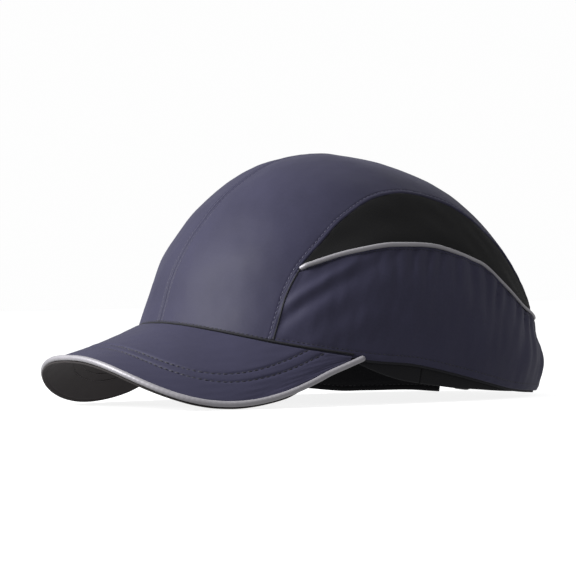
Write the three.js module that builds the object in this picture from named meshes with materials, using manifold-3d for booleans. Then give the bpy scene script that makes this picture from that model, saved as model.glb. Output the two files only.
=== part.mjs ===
// A peaked bump cap: a soft textile cap with a stiffened visor, mesh side vents, reflective
// piping, a rear size strap, and a loose protective liner (plastic shell with foam pads).
//
// Units are millimetres. The cap rests on a table at z = 0 with its visor towards -Y, and
// +X is the wearer's left. The crown is described in its own "head frame", whose XY plane is
// level with the head band; that frame is tilted front-up and lifted into place at the end.
import * as THREE from 'three';
import * as BufferGeometryUtils from 'three/addons/utils/BufferGeometryUtils.js';
import Module from 'manifold-3d';

// ---------------------------------------------------------------- driving dimensions
const CROWN_HALF_WIDTH = 88;
const CROWN_FRONT_REACH = 101;
const CROWN_REAR_REACH = 117;
const CROWN_HEIGHT = 92;
const CROWN_FRONT_POWER = 2.18;     // superellipse powers of the plan outline, front and rear
const CROWN_REAR_POWER = 2.4;
const CROWN_SIDE_POWER = 2.6;       // how full the wall stands
const CROWN_TOP_POWER = 1.45;       // how round the top is
const CROWN_FLARE = 0.15;           // widening of the wall below the head band, per height
const HEAD_TILT = THREE.MathUtils.degToRad(14.3);
const HEAD_LIFT = 35.95;
const BODY_SHIFT_Y = 20.5;          // brings the middle of the whole cap over the origin

const SEAM_GAP = 0.3;               // half the clearance between neighbouring solids
const FABRIC = 1.0;                 // outer cloth with its lining
const TAPE = 0.7;
const SWEATBAND = 1.6;
const LINER_SHELL = 2.0;
const FOAM = 6.0;

const TAPE_DEPTH = 1.7;             // depths are measured inward from the crown's outer face
const HEM_DEPTH = 1.3;
const HEM_THICKNESS = 0.8;
const SWEATBAND_DEPTH = 2.4;
const BROW_PAD_DEPTH = 4.7;
const BROW_PAD = 2.2;
const LINER_DEPTH = 4.8;
const PAD_DEPTH = LINER_DEPTH + LINER_SHELL + 4 * SEAM_GAP;

const SIDE_PIPING_RADIUS = 1.25;
const VISOR_PIPING_RADIUS = 1.5;

const VISOR_BOARD = 1.2;
const VISOR_COVER = 0.6;
const VISOR_HALF_WIDTH = 86;
const VISOR_FORWARD = 121.9;        // reach of the edge in front of its corners
const VISOR_CORNER_Y = 34;
const VISOR_PLAN_POWER = 2.8;
const VISOR_MID_Z = 53.3;
const VISOR_PITCH = THREE.MathUtils.degToRad(27);
const VISOR_DROOP = 69.6;           // how far the sides of the visor hang at 90 mm out
const VISOR_DROOP_POWER = 2.57;
const VISOR_ROOT_ANGLE = 67.5;      // the visor is sewn on up to this angle each side
const VISOR_ROOT_STANDOFF = 0.7;
const VISOR_EDGE_ANGLE = 88.9;      // parameter of the edge where the visor ends
const VISOR_SAG = 1.2;              // dip of the visor between the crown and its edge
const VISOR_PIPING_RAISE = 1.0;     // of the piping's centre above the visor's middle surface
const VISOR_PIPING_INSET = 0.6;     // of the piping's centre from the edge line
const VISOR_UNDER_REACH = 0.6;      // of the bottom cover past the edge line, under the piping
const COVER_SPAN = 0.94;            // shares of the visor's width
const UNDER_SPAN = 0.88;
const BOARD_SPAN = 0.92;
const PIPING_SPAN = 0.975;
const PIPING_TAIL_ANGLE = 70.8;     // the visor's piping runs on to here, just under the rim
const PIPING_TAIL_DROP = 2;

const STRAP_WIDTH = 20;
const STRAP_BOTTOM = -4.5;
const STRAP_THICKNESS = 1.0;
const STRAP_DEPTH = 1.7;
const OPENING_HALF_WIDTH = 44;
const OPENING_SHOULDER = 29;
const OPENING_TOP = 47;

const LINER_BOTTOM = 17;
const VENT_COUNT = 8;
const VENT_WIDTH = 8;
const VENT_HEIGHT = 20;
const VENT_MID_Z = 50;

// Stations are [angle or coordinate, value]; a smooth curve runs through them.
// Angles go round the head band from the front (0) past the left ear (90) to the back (180).
const RIM = [
  [0, -20.8], [45, -23.6], [72, -21.2], [92, -17], [128, -15.4], [152, -9.6], [180, -6.4],
];
const SIDE_PIPING = [
  [32, 4], [46, 18], [60, 31], [77, 41], [100, 46.5], [118, 45], [130, 37], [141, 30], [158, 29],
];
const BAND_HALF_WIDTH = [
  [0, 66.6], [40, 66.3], [58, 63.5], [75, 58.5], [92, 53.5], [112, 50], [135, 47.6], [156, 44.2],
];
// The sweatband hangs below the rim, a little lower on the wearer's right.
const SWEATBAND_DROP_LEFT = [[0, 0], [60, 0], [90, 9], [105, 7.5], [120, 4], [135, 1], [150, 0.3]];
const SWEATBAND_DROP_RIGHT = [
  [0, 0], [60, 0], [90, 9], [105, 9], [120, 6.7], [127, 5.4], [135, 3.4], [150, 2],
];

// ---------------------------------------------------------------- small maths helpers
const radians = THREE.MathUtils.degToRad;
const mix = THREE.MathUtils.lerp;

// Cubic curve through stations, with a slope at each that never overshoots.
function through(stations, at) {
  const last = stations.length - 1;
  const clamped = THREE.MathUtils.clamp(at, stations[0][0], stations[last][0]);
  let i = 0;
  while (i < last - 1 && clamped > stations[i + 1][0]) i += 1;
  const secant = (k) => (stations[k + 1][1] - stations[k][1]) / (stations[k + 1][0] - stations[k][0]);
  const slope = (k) => {
    if (k === 0 || k === last) return 0;
    const before = secant(k - 1);
    const after = secant(k);
    return before * after <= 0 ? 0 : (2 * before * after) / (before + after);
  };
  const span = stations[i + 1][0] - stations[i][0];
  const t = (clamped - stations[i][0]) / span;
  const rise = stations[i + 1][1] - stations[i][1];
  const m0 = slope(i) * span;
  const m1 = slope(i + 1) * span;
  return stations[i][1] + m0 * t + (3 * rise - 2 * m0 - m1) * t * t + (m0 + m1 - 2 * rise) * t * t * t;
}

// ---------------------------------------------------------------- the crown surface
// Zero on the outer face of the crown, negative inside it.
function crownField(p) {
  const reach = p.y < 0 ? CROWN_FRONT_REACH : CROWN_REAR_REACH;
  const power = p.y < 0 ? CROWN_FRONT_POWER : CROWN_REAR_POWER;
  const plan = Math.abs(p.x / CROWN_HALF_WIDTH) ** power + Math.abs(p.y / reach) ** power;
  const wall = plan ** (CROWN_SIDE_POWER / power);
  const level = p.z / CROWN_HEIGHT;
  const top = level > 0 ? level ** CROWN_TOP_POWER : CROWN_FLARE * level;
  return wall + top - 1;
}

function crownNormal(p) {
  const step = 0.05;
  const slope = (axis) => {
    const ahead = p.clone();
    const behind = p.clone();
    ahead[axis] += step;
    behind[axis] -= step;
    return crownField(ahead) - crownField(behind);
  };
  return new THREE.Vector3(slope('x'), slope('y'), slope('z')).normalize();
}

// The point of the crown's face on the ray from `from` through `towards`, sunk by `depth`.
function castToCrown(from, towards, depth = 0) {
  const ray = towards.clone().sub(from).normalize();
  let near = 0;
  let far = 260;
  for (let i = 0; i < 40; i += 1) {
    const middle = (near + far) / 2;
    if (crownField(from.clone().addScaledVector(ray, middle)) < 0) near = middle;
    else far = middle;
  }
  const hit = from.clone().addScaledVector(ray, near);
  return hit.addScaledVector(crownNormal(hit), -depth);
}

// A point of the wall at an angle round the head band and a height above it.
function wallPoint(angle, z, depth = 0) {
  const axis = new THREE.Vector3(0, 0, z);
  const out = new THREE.Vector3(Math.sin(radians(angle)), -Math.cos(radians(angle)), 0);
  return castToCrown(axis, axis.clone().add(out), depth);
}

// A point of the centre band: `roll` turns from the front (0) over the top to the back (180).
const ROLL_CENTRE_Z = -20;
function bandPoint(roll, x, depth = 0) {
  const hub = new THREE.Vector3(x, 0, ROLL_CENTRE_Z);
  const out = new THREE.Vector3(0, -Math.cos(radians(roll)), Math.sin(radians(roll)));
  return castToCrown(hub, hub.clone().add(out), depth);
}

const HUB = new THREE.Vector3(0, 8, ROLL_CENTRE_Z);

function rollOf(p) {
  return THREE.MathUtils.radToDeg(Math.atan2(p.z - ROLL_CENTRE_Z, -p.y));
}

// ---------------------------------------------------------------- outlines on the crown
function frontRoll(x) {
  const root = bandPoint(0, x);
  const angle = THREE.MathUtils.radToDeg(Math.atan2(Math.abs(root.x), -root.y));
  root.z = through(RIM, angle);
  return rollOf(root);
}

function archHeight(x) {
  const across = Math.min(Math.abs(x) / (OPENING_HALF_WIDTH + 2), 1);
  return mix(OPENING_SHOULDER, OPENING_TOP, Math.sqrt(1 - across * across));
}

function rearRoll(x) {
  const z = archHeight(x);
  const axis = new THREE.Vector3(x, 0, z);
  return rollOf(castToCrown(axis, axis.clone().add(new THREE.Vector3(0, 1, 0))));
}

// A point at the side seam of the centre band, or `aside` of it.
function seamPoint(roll, aside = 0, depth = 0) {
  return bandPoint(roll, through(BAND_HALF_WIDTH, roll) + aside, depth);
}

const PIPING_FRONT_ANGLE = 46;
const REAR_EDGE_ANGLE = 158;
const SEAM_FRONT_ROLL = rollOf(wallPoint(PIPING_FRONT_ANGLE, through(SIDE_PIPING, PIPING_FRONT_ANGLE)));
const SEAM_FOOT_ROLL = frontRoll(BAND_HALF_WIDTH[0][1]);
const SEAM_REAR_ROLL = rearRoll(OPENING_HALF_WIDTH);
const REAR_ROLL_WIDTH = 1.9;        // mm of cloth per degree of roll near the rear opening

// The angle round the head band of the front seam, a share of the way up the side panel.
function frontSeamAngle(up) {
  const p = seamPoint(mix(SEAM_FOOT_ROLL, SEAM_FRONT_ROLL, up));
  return THREE.MathUtils.radToDeg(Math.atan2(p.x, -p.y));
}

// ---------------------------------------------------------------- solids from surfaces
// A thin closed slab: across, along and layer all run from 0 to 1, layer 0 is the inner face.
function slab(stepsAcross, stepsAlong, place) {
  const geometry = new THREE.BoxGeometry(1, 1, 1, stepsAcross, stepsAlong, 1);
  const position = geometry.attributes.position;
  for (let i = 0; i < position.count; i += 1) {
    const p = place(position.getX(i) + 0.5, position.getY(i) + 0.5, position.getZ(i) + 0.5);
    position.setXYZ(i, p.x, p.y, p.z);
  }
  geometry.computeVertexNormals();
  return geometry;
}

function tube(points, radius, steps, sides = 8) {
  const section = new THREE.Shape();
  for (let i = 0; i < sides; i += 1) {
    const turn = (2 * Math.PI * (i + 0.5)) / sides;
    const place = i === 0 ? 'moveTo' : 'lineTo';
    section[place](radius * Math.cos(turn), radius * Math.sin(turn));
  }
  return new THREE.ExtrudeGeometry(section, {
    steps,
    bevelEnabled: false,
    extrudePath: new THREE.CatmullRomCurve3(points),
  });
}

// Mirrors a geometry across the cap's middle plane and keeps its faces outward.
function mirrored(geometry) {
  const copy = geometry.clone().applyMatrix4(new THREE.Matrix4().makeScale(-1, 1, 1));
  const index = copy.index ? copy.index.array : null;
  if (index) {
    for (let i = 0; i < index.length; i += 3) [index[i], index[i + 1]] = [index[i + 1], index[i]];
  } else {
    const p = copy.attributes.position;
    for (let i = 0; i < p.count; i += 3) {
      const a = new THREE.Vector3().fromBufferAttribute(p, i);
      const b = new THREE.Vector3().fromBufferAttribute(p, i + 1);
      p.setXYZ(i, b.x, b.y, b.z);
      p.setXYZ(i + 1, a.x, a.y, a.z);
    }
  }
  copy.computeVertexNormals();
  return copy;
}

const manifold = await Module();
manifold.setup();

function toSolid(geometry) {
  const bare = geometry.clone();
  bare.deleteAttribute('normal');
  bare.deleteAttribute('uv');
  const merged = BufferGeometryUtils.mergeVertices(bare, 1e-4);
  return new manifold.Manifold(new manifold.Mesh({
    numProp: 3,
    vertProperties: new Float32Array(merged.attributes.position.array),
    triVerts: new Uint32Array(merged.index.array),
  }));
}

function fromSolid(solid) {
  const mesh = solid.getMesh();
  const geometry = new THREE.BufferGeometry();
  geometry.setAttribute('position', new THREE.BufferAttribute(mesh.vertProperties, 3));
  geometry.setIndex(new THREE.BufferAttribute(mesh.triVerts, 1));
  geometry.computeVertexNormals();
  return geometry;
}

// ---------------------------------------------------------------- colours and finishes
const FINISH = {
  navy: { color: 0x34334a, roughness: 0.75, metalness: 0 },
  mesh: { color: 0x1d1d1f, roughness: 0.9, metalness: 0 },
  reflective: { color: 0xa9a8b4, roughness: 0.4, metalness: 0.3 },
  lining: { color: 0x1b1b1d, roughness: 0.9, metalness: 0 },
  board: { color: 0x3b3a3c, roughness: 0.6, metalness: 0 },
  underside: { color: 0x2c2829, roughness: 0.85, metalness: 0 },
  shell: { color: 0x232427, roughness: 0.45, metalness: 0 },
  foam: { color: 0x303134, roughness: 0.95, metalness: 0 },
  ring: { color: 0x18181a, roughness: 0.4, metalness: 0 },
  label: { color: 0xd9d7d0, roughness: 0.8, metalness: 0 },
};

const headGroup = new THREE.Group();
headGroup.rotation.x = -HEAD_TILT;
headGroup.position.set(0, BODY_SHIFT_Y, HEAD_LIFT);

function addPiece(name, geometry, finish) {
  const mesh = new THREE.Mesh(geometry, new THREE.MeshStandardMaterial(FINISH[finish]));
  mesh.name = name;
  headGroup.add(mesh);
  return mesh;
}

function addPair(name, geometry, finish) {
  addPiece(`${name}_left`, geometry, finish);
  addPiece(`${name}_right`, mirrored(geometry), finish);
}

// ---------------------------------------------------------------- outer cloth
function crownPanel() {
  const frontWidth = through(BAND_HALF_WIDTH, SEAM_FOOT_ROLL);
  const rearWidth = through(BAND_HALF_WIDTH, SEAM_REAR_ROLL);
  return slab(6, 24, (across, along, layer) => {
    const seamRoll = mix(SEAM_FOOT_ROLL, SEAM_REAR_ROLL, along);
    const x = mix(SEAM_GAP, through(BAND_HALF_WIDTH, seamRoll) - SEAM_GAP, across);
    const roll = mix(frontRoll(across * frontWidth), rearRoll(across * rearWidth), along);
    return bandPoint(roll, x, mix(FABRIC, 0, layer));
  });
}

function meshPanel() {
  const clear = SIDE_PIPING_RADIUS + 2.5 * SEAM_GAP;
  return slab(24, 4, (back, up, layer) => {
    const upper = seamPoint(mix(SEAM_FRONT_ROLL + 1.6, SEAM_REAR_ROLL - 0.6, back), 1.5 * SEAM_GAP);
    const angle = mix(PIPING_FRONT_ANGLE + 0.6, REAR_EDGE_ANGLE - 2.2, back);
    const lower = wallPoint(angle, through(SIDE_PIPING, angle) + clear);
    const between = lower.lerp(upper, up);
    return castToCrown(HUB, between, mix(FABRIC, 0, layer));
  });
}

function sidePanel() {
  const clear = SIDE_PIPING_RADIUS + 2.5 * SEAM_GAP;
  return slab(24, 5, (around, up, layer) => {
    const angle = mix(frontSeamAngle(up) + 0.3, REAR_EDGE_ANGLE - 0.4, around);
    const z = mix(through(RIM, angle), through(SIDE_PIPING, angle) - clear, up);
    return wallPoint(angle, z, mix(FABRIC, 0, layer));
  });
}

function sidePiping() {
  const points = [];
  const count = 16;
  for (let i = 0; i <= count; i += 1) {
    const angle = mix(PIPING_FRONT_ANGLE + 0.9, REAR_EDGE_ANGLE - 2, i / count);
    points.push(wallPoint(angle, through(SIDE_PIPING, angle), -0.3));
  }
  return tube(points, SIDE_PIPING_RADIUS, 32);
}

addPair('crown_panel', crownPanel(), 'navy');
addPair('mesh_panel', meshPanel(), 'mesh');
addPair('side_panel', sidePanel(), 'navy');
addPair('side_piping', sidePiping(), 'reflective');

// ---------------------------------------------------------------- tapes and bindings inside
const TAPE_START_ROLL = 29;
const HEM_END_ANGLE = 148;

function centreTape() {
  const halfWidth = 6;
  const rearGap = 2;
  return slab(2, 20, (across, along, layer) => {
    const x = mix(-halfWidth, halfWidth, across);
    const roll = mix(TAPE_START_ROLL, rearRoll(0) - rearGap, along);
    return bandPoint(roll, x, TAPE_DEPTH + mix(TAPE, 0, layer));
  });
}

function seamTape() {
  const halfWidth = 5;
  const rearGap = 3;
  return slab(2, 20, (across, along, layer) => {
    const roll = mix(TAPE_START_ROLL, SEAM_REAR_ROLL - rearGap, along);
    return seamPoint(roll, mix(-halfWidth, halfWidth, across), TAPE_DEPTH + mix(TAPE, 0, layer));
  });
}

function hemBinding() {
  const below = 1.2;
  const height = 9;
  return slab(16, 1, (around, up, layer) => {
    const angle = mix(VISOR_ROOT_ANGLE + 2, HEM_END_ANGLE, around);
    const z = through(RIM, angle) + mix(-below, height, up);
    return wallPoint(angle, z, HEM_DEPTH + mix(HEM_THICKNESS, 0, layer));
  });
}

// Edges the top of the rear opening, inside the end of the centre band.
function openingBinding() {
  const height = 7;
  const sideGap = 9;
  const overhang = 0.4;
  return slab(16, 1, (across, up, layer) => {
    const x = mix(1, -1, across) * (OPENING_HALF_WIDTH - sideGap);
    const roll = rearRoll(x) + overhang - mix(0, height / REAR_ROLL_WIDTH, up);
    return bandPoint(roll, x, TAPE_DEPTH + TAPE + SEAM_GAP + mix(TAPE, 0, layer));
  });
}

addPiece('centre_seam_tape', centreTape(), 'lining');
addPair('seam_tape', seamTape(), 'lining');
addPair('hem_binding', hemBinding(), 'lining');
addPiece('rear_opening_binding', openingBinding(), 'navy');

// ---------------------------------------------------------------- sweatband
const SWEATBAND_TOP = 13;
const SWEATBAND_SPLIT_ANGLE = 93;
const SWEATBAND_SPLIT_GAP = 0.3;    // degrees
const SWEATBAND_END_ANGLE = 148;
const BROW_PAD_HALF_ANGLE = 42;
const BROW_PAD_BOTTOM = -16;
const BROW_PAD_TOP = 9;
const LABEL = 0.4;
const LABEL_START_ANGLE = 124;
const LABEL_END_ANGLE = 134;
const LABEL_HALF_HEIGHT = 8;

function sweatbandPart(from, to, steps) {
  return slab(steps, 2, (around, up, layer) => {
    const angle = mix(from, to, around);
    const drop = angle > 0 ? SWEATBAND_DROP_LEFT : SWEATBAND_DROP_RIGHT;
    const bottom = through(RIM, Math.abs(angle)) - through(drop, Math.abs(angle));
    return wallPoint(angle, mix(bottom, SWEATBAND_TOP, up), SWEATBAND_DEPTH + mix(SWEATBAND, 0, layer));
  });
}

function browPad() {
  return slab(14, 2, (around, up, layer) => {
    const angle = mix(-BROW_PAD_HALF_ANGLE, BROW_PAD_HALF_ANGLE, around);
    const z = mix(BROW_PAD_BOTTOM, BROW_PAD_TOP, up);
    return wallPoint(angle, z, BROW_PAD_DEPTH + mix(BROW_PAD, 0, layer));
  });
}

function careLabel() {
  return slab(3, 2, (around, up, layer) => {
    const angle = mix(LABEL_START_ANGLE, LABEL_END_ANGLE, around);
    const z = mix(-LABEL_HALF_HEIGHT, LABEL_HALF_HEIGHT, up);
    return wallPoint(angle, z, BROW_PAD_DEPTH + mix(LABEL, 0, layer));
  });
}

const SWEATBAND_REAR_ANGLE = SWEATBAND_SPLIT_ANGLE + SWEATBAND_SPLIT_GAP;
addPiece('sweatband_front', sweatbandPart(-SWEATBAND_SPLIT_ANGLE, SWEATBAND_SPLIT_ANGLE, 28), 'lining');
addPiece('sweatband_rear_left', sweatbandPart(SWEATBAND_REAR_ANGLE, SWEATBAND_END_ANGLE, 10), 'lining');
addPiece('sweatband_rear_right', sweatbandPart(-SWEATBAND_END_ANGLE, -SWEATBAND_REAR_ANGLE, 10), 'lining');
addPiece('brow_pad', browPad(), 'foam');
addPiece('care_label', careLabel(), 'label');

// ---------------------------------------------------------------- visor
function toHeadFrame(p) {
  return p.sub(new THREE.Vector3(0, 0, HEAD_LIFT)).applyAxisAngle(new THREE.Vector3(1, 0, 0), HEAD_TILT);
}

// The visor's edge line, level with the table; `turn` runs from -90 to 90 degrees.
function visorEdge(turn) {
  const power = 2 / VISOR_PLAN_POWER;
  const sine = Math.sin(radians(turn));
  const x = VISOR_HALF_WIDTH * Math.sign(sine) * Math.abs(sine) ** power;
  const forward = VISOR_CORNER_Y + VISOR_FORWARD * Math.abs(Math.cos(radians(turn))) ** power;
  const z = VISOR_MID_Z - Math.tan(VISOR_PITCH) * (forward - 100)
    - VISOR_DROOP * Math.abs(x / 90) ** VISOR_DROOP_POWER;
  return toHeadFrame(new THREE.Vector3(x, -forward, z));
}

// Middle surface of the visor: side -1 to 1 across, out 0 at the crown to 1 at the edge.
function visorPoint(side, out) {
  const angle = side * VISOR_ROOT_ANGLE;
  const root = wallPoint(angle, through(RIM, Math.abs(angle)), -VISOR_ROOT_STANDOFF);
  const point = root.lerp(visorEdge(side * VISOR_EDGE_ANGLE), out);
  point.z -= VISOR_SAG * 4 * out * (1 - out);
  return point;
}

function visorNormal(side, out) {
  const step = 0.01;
  const across = visorPoint(side + step, out).sub(visorPoint(side - step, out));
  const along = visorPoint(side, out + step).sub(visorPoint(side, out - step));
  return along.cross(across).normalize();
}

const VISOR_EDGE_LINE = [];
for (let i = 0; i <= 300; i += 1) VISOR_EDGE_LINE.push(visorPoint(mix(-1, 1, i / 300), 1));

// The largest share of the way out that stays `clearance` away from the edge line.
function shareInside(side, clearance) {
  const isClear = (p) => VISOR_EDGE_LINE.every((place) => place.distanceTo(p) > clearance);
  let low = 0;
  let high = 1;
  for (let i = 0; i < 14; i += 1) {
    const middle = (low + high) / 2;
    if (isClear(visorPoint(side, middle))) low = middle;
    else high = middle;
  }
  return low;
}

// The share of the way out that lies `reach` past the edge line.
function sharePast(side, reach) {
  const spoke = visorPoint(side, 1).sub(visorPoint(side, 0));
  const edge = visorPoint(side + 0.01, 1).sub(visorPoint(side - 0.01, 1)).normalize();
  return 1 + reach / spoke.cross(edge).length();
}

// A layer of the visor between two heights; `outerShare` gives its outline for each side.
function visorLayer(low, high, halfSpan, outerShare) {
  return slab(44, 4, (across, along, layer) => {
    // steps are finer towards the corners, where the edge line runs closer to the spokes
    const even = 2 * across - 1;
    const side = halfSpan * mix(even, Math.sin((even * Math.PI) / 2), 0.6);
    const out = outerShare(side) * along;
    return visorPoint(side, out).addScaledVector(visorNormal(side, out), mix(low, high, 1 - layer));
  });
}

function pipingTail(sign) {
  const z = through(RIM, PIPING_TAIL_ANGLE) - PIPING_TAIL_DROP;
  return wallPoint(sign * PIPING_TAIL_ANGLE, z, -VISOR_PIPING_RAISE);
}

function visorPiping() {
  const points = [pipingTail(-1)];
  const count = 60;
  for (let i = 0; i <= count; i += 1) {
    const side = mix(-PIPING_SPAN, PIPING_SPAN, i / count);
    const centre = visorPoint(side, shareInside(side, VISOR_PIPING_INSET));
    points.push(centre.addScaledVector(visorNormal(side, 1), VISOR_PIPING_RAISE));
  }
  points.push(pipingTail(1));
  return tube(points, VISOR_PIPING_RADIUS, 80);
}

const coverStart = VISOR_BOARD / 2 + SEAM_GAP;
const coverEnd = coverStart + VISOR_COVER;
const pipingWidth = VISOR_PIPING_INSET + VISOR_PIPING_RADIUS + 2 * SEAM_GAP;
const besidePiping = (side) => shareInside(side, pipingWidth);
// the bottom cover passes under the piping, but for its last stretch at the corners
const underPiping = (side) => {
  const isCorner = Math.abs(side) > UNDER_SPAN;
  return isCorner ? besidePiping(side) : sharePast(side, VISOR_UNDER_REACH);
};
const visorTop = visorLayer(coverStart, coverEnd, COVER_SPAN, besidePiping);
const visorBoard = visorLayer(-VISOR_BOARD / 2, VISOR_BOARD / 2, BOARD_SPAN, besidePiping);
const visorBottom = visorLayer(-coverEnd, -coverStart, COVER_SPAN, underPiping);
addPiece('visor_top_cover', visorTop, 'navy');
addPiece('visor_board', visorBoard, 'board');
addPiece('visor_bottom_cover', visorBottom, 'underside');
addPiece('visor_piping', visorPiping(), 'reflective');

// ---------------------------------------------------------------- rear size strap
const RING_WIDTH = 14;
const RING_HEIGHT = 27;
const RING_THICKNESS = 2.4;
const RING_BAR = 3;
const RING_ANGLE = 162.5;           // the ring's distance round the head band from the front
const BEND_RADIUS = 2.2;            // inner radius of the webbing's turns round the ring's bars
const STRAP_MID_Z = STRAP_BOTTOM + STRAP_WIDTH / 2;
const BAR_OFFSET = (RING_WIDTH - RING_BAR) / 2;

// The strap is drawn with its ring on the wearer's left and mirrored when it is added, so the
// ring ends up on the wearer's right.
// Local frame at the ring: x along the strap towards its panel, y outward, z up the head.
const ringSeat = wallPoint(RING_ANGLE, STRAP_MID_Z);
const ringOutward = crownNormal(ringSeat);
const ringAlong = new THREE.Vector3(ringOutward.y, -ringOutward.x, 0).normalize();
const ringUp = ringAlong.clone().cross(ringOutward);
const ringPlace = new THREE.Matrix4().makeBasis(ringAlong, ringOutward, ringUp).setPosition(ringSeat);

function addStrapPiece(name, geometry, finish) {
  addPiece(name, mirrored(geometry), finish);
}

function rectanglePath(target, halfWidth, halfHeight, round) {
  target.moveTo(-halfWidth + round, -halfHeight);
  target.lineTo(halfWidth - round, -halfHeight);
  target.absarc(halfWidth - round, -halfHeight + round, round, -Math.PI / 2, 0);
  target.lineTo(halfWidth, halfHeight - round);
  target.absarc(halfWidth - round, halfHeight - round, round, 0, Math.PI / 2);
  target.lineTo(-halfWidth + round, halfHeight);
  target.absarc(-halfWidth + round, halfHeight - round, round, Math.PI / 2, Math.PI);
  target.lineTo(-halfWidth, -halfHeight + round);
  target.absarc(-halfWidth + round, -halfHeight + round, round, Math.PI, 1.5 * Math.PI);
  return target;
}

function strapRing() {
  const outline = rectanglePath(new THREE.Shape(), RING_WIDTH / 2, RING_HEIGHT / 2, 2);
  const hole = rectanglePath(new THREE.Path(), RING_WIDTH / 2 - RING_BAR, RING_HEIGHT / 2 - RING_BAR, 0.8);
  outline.holes.push(hole);
  const geometry = new THREE.ExtrudeGeometry(outline, {
    depth: RING_THICKNESS, bevelEnabled: false, curveSegments: 3,
  });
  geometry.translate(0, 0, -RING_THICKNESS / 2).rotateX(Math.PI / 2);
  return geometry.applyMatrix4(ringPlace);
}

// Extrudes a plan outline (x along the strap, y outward) to the strap's width at the ring.
function strapExtrusion(outline) {
  const geometry = new THREE.ExtrudeGeometry(outline, {
    depth: STRAP_WIDTH, bevelEnabled: false, curveSegments: 8,
  });
  return geometry.translate(0, 0, -STRAP_WIDTH / 2).applyMatrix4(ringPlace);
}

// A webbing loop round the ring's outer bar, with a sewn tail that lies inside the side panel.
function ringTab() {
  const tailLength = 11;
  const outer = BEND_RADIUS + STRAP_THICKNESS;
  const centre = BAR_OFFSET;
  const outline = new THREE.Shape();
  const tailEnd = centre + tailLength;
  const tailTop = -2.9;
  const tailFall = 1.6;
  outline.moveTo(tailEnd, tailTop - tailFall - 2 * STRAP_THICKNESS);
  outline.lineTo(centre, -outer);
  outline.absarc(centre, 0, outer, -Math.PI / 2, 0, true);
  outline.lineTo(centre + outer, tailTop);
  outline.lineTo(tailEnd, tailTop - tailFall);
  const eye = new THREE.Path();
  eye.absarc(centre, 0, BEND_RADIUS, 0, 2 * Math.PI);
  outline.holes.push(eye);
  return strapExtrusion(outline);
}

// The strap's turn round the ring's inner bar, from its inner layer to a short outer lip.
function strapTurn() {
  const outer = BEND_RADIUS + STRAP_THICKNESS;
  const lip = 2.1;
  const lead = 7;
  const outline = new THREE.Shape();
  outline.moveTo(-BAR_OFFSET - lead, -outer + 0.1);
  outline.lineTo(-BAR_OFFSET, -outer);
  outline.absarc(-BAR_OFFSET, 0, outer, -Math.PI / 2, Math.PI / 2, false);
  outline.lineTo(-BAR_OFFSET - lip, outer);
  outline.lineTo(-BAR_OFFSET - lip, BEND_RADIUS);
  outline.absarc(-BAR_OFFSET, 0, BEND_RADIUS, Math.PI / 2, -Math.PI / 2, true);
  outline.lineTo(-BAR_OFFSET - lead, -BEND_RADIUS - 0.3);
  return strapExtrusion(outline);
}

function strapSheet(fromAngle, toAngle, steps, depth, thickness, inset) {
  return slab(steps, 1, (around, up, layer) => {
    const angle = mix(fromAngle, toAngle, around);
    const z = mix(STRAP_BOTTOM + inset, STRAP_BOTTOM + STRAP_WIDTH - inset, up);
    return wallPoint(angle, z, depth(around) + mix(thickness, 0, layer));
  });
}

const STRAP_START_ANGLE = RING_ANGLE + 5.2;
const STRAP_END_ANGLE = 207.5;
const TAIL_START_ANGLE = RING_ANGLE + 4.6;
const TAIL_END_ANGLE = 191;
const TAIL_DEPTH_AT_RING = -3.4;
const TAIL_DEPTH = -1.2;
const TAIL_EASE = 0.35;             // share of the tail's length that comes down to the strap
const PATCH = 0.5;
const PATCH_INSET = 1.5;
const LOOP_DEPTH = 0.9;
const LOOP_START_ANGLE = 173;
const LOOP_END_ANGLE = 198;
const HOOK_DEPTH = 0.1;
const HOOK_START_ANGLE = 177.5;
const HOOK_END_ANGLE = TAIL_END_ANGLE - 1;

function rearStrap() {
  const sheet = strapSheet(STRAP_START_ANGLE, STRAP_END_ANGLE, 16, () => STRAP_DEPTH, STRAP_THICKNESS, 0);
  return fromSolid(toSolid(sheet).add(toSolid(strapTurn())));
}

function strapTail() {
  const depth = (around) => {
    return mix(TAIL_DEPTH_AT_RING, TAIL_DEPTH, THREE.MathUtils.smoothstep(around, 0, TAIL_EASE));
  };
  return strapSheet(TAIL_START_ANGLE, TAIL_END_ANGLE, 12, depth, STRAP_THICKNESS, 0);
}

function loopPatch() {
  return strapSheet(LOOP_START_ANGLE, LOOP_END_ANGLE, 10, () => LOOP_DEPTH, PATCH, PATCH_INSET);
}

function hookPatch() {
  return strapSheet(HOOK_START_ANGLE, HOOK_END_ANGLE, 6, () => HOOK_DEPTH, PATCH, PATCH_INSET);
}

addStrapPiece('strap_ring', strapRing(), 'ring');
addStrapPiece('ring_tab', ringTab(), 'navy');
addStrapPiece('rear_strap', rearStrap(), 'navy');
addStrapPiece('strap_loop_patch', loopPatch(), 'lining');
addStrapPiece('strap_tail', strapTail(), 'navy');
addStrapPiece('tail_hook_patch', hookPatch(), 'lining');

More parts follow.
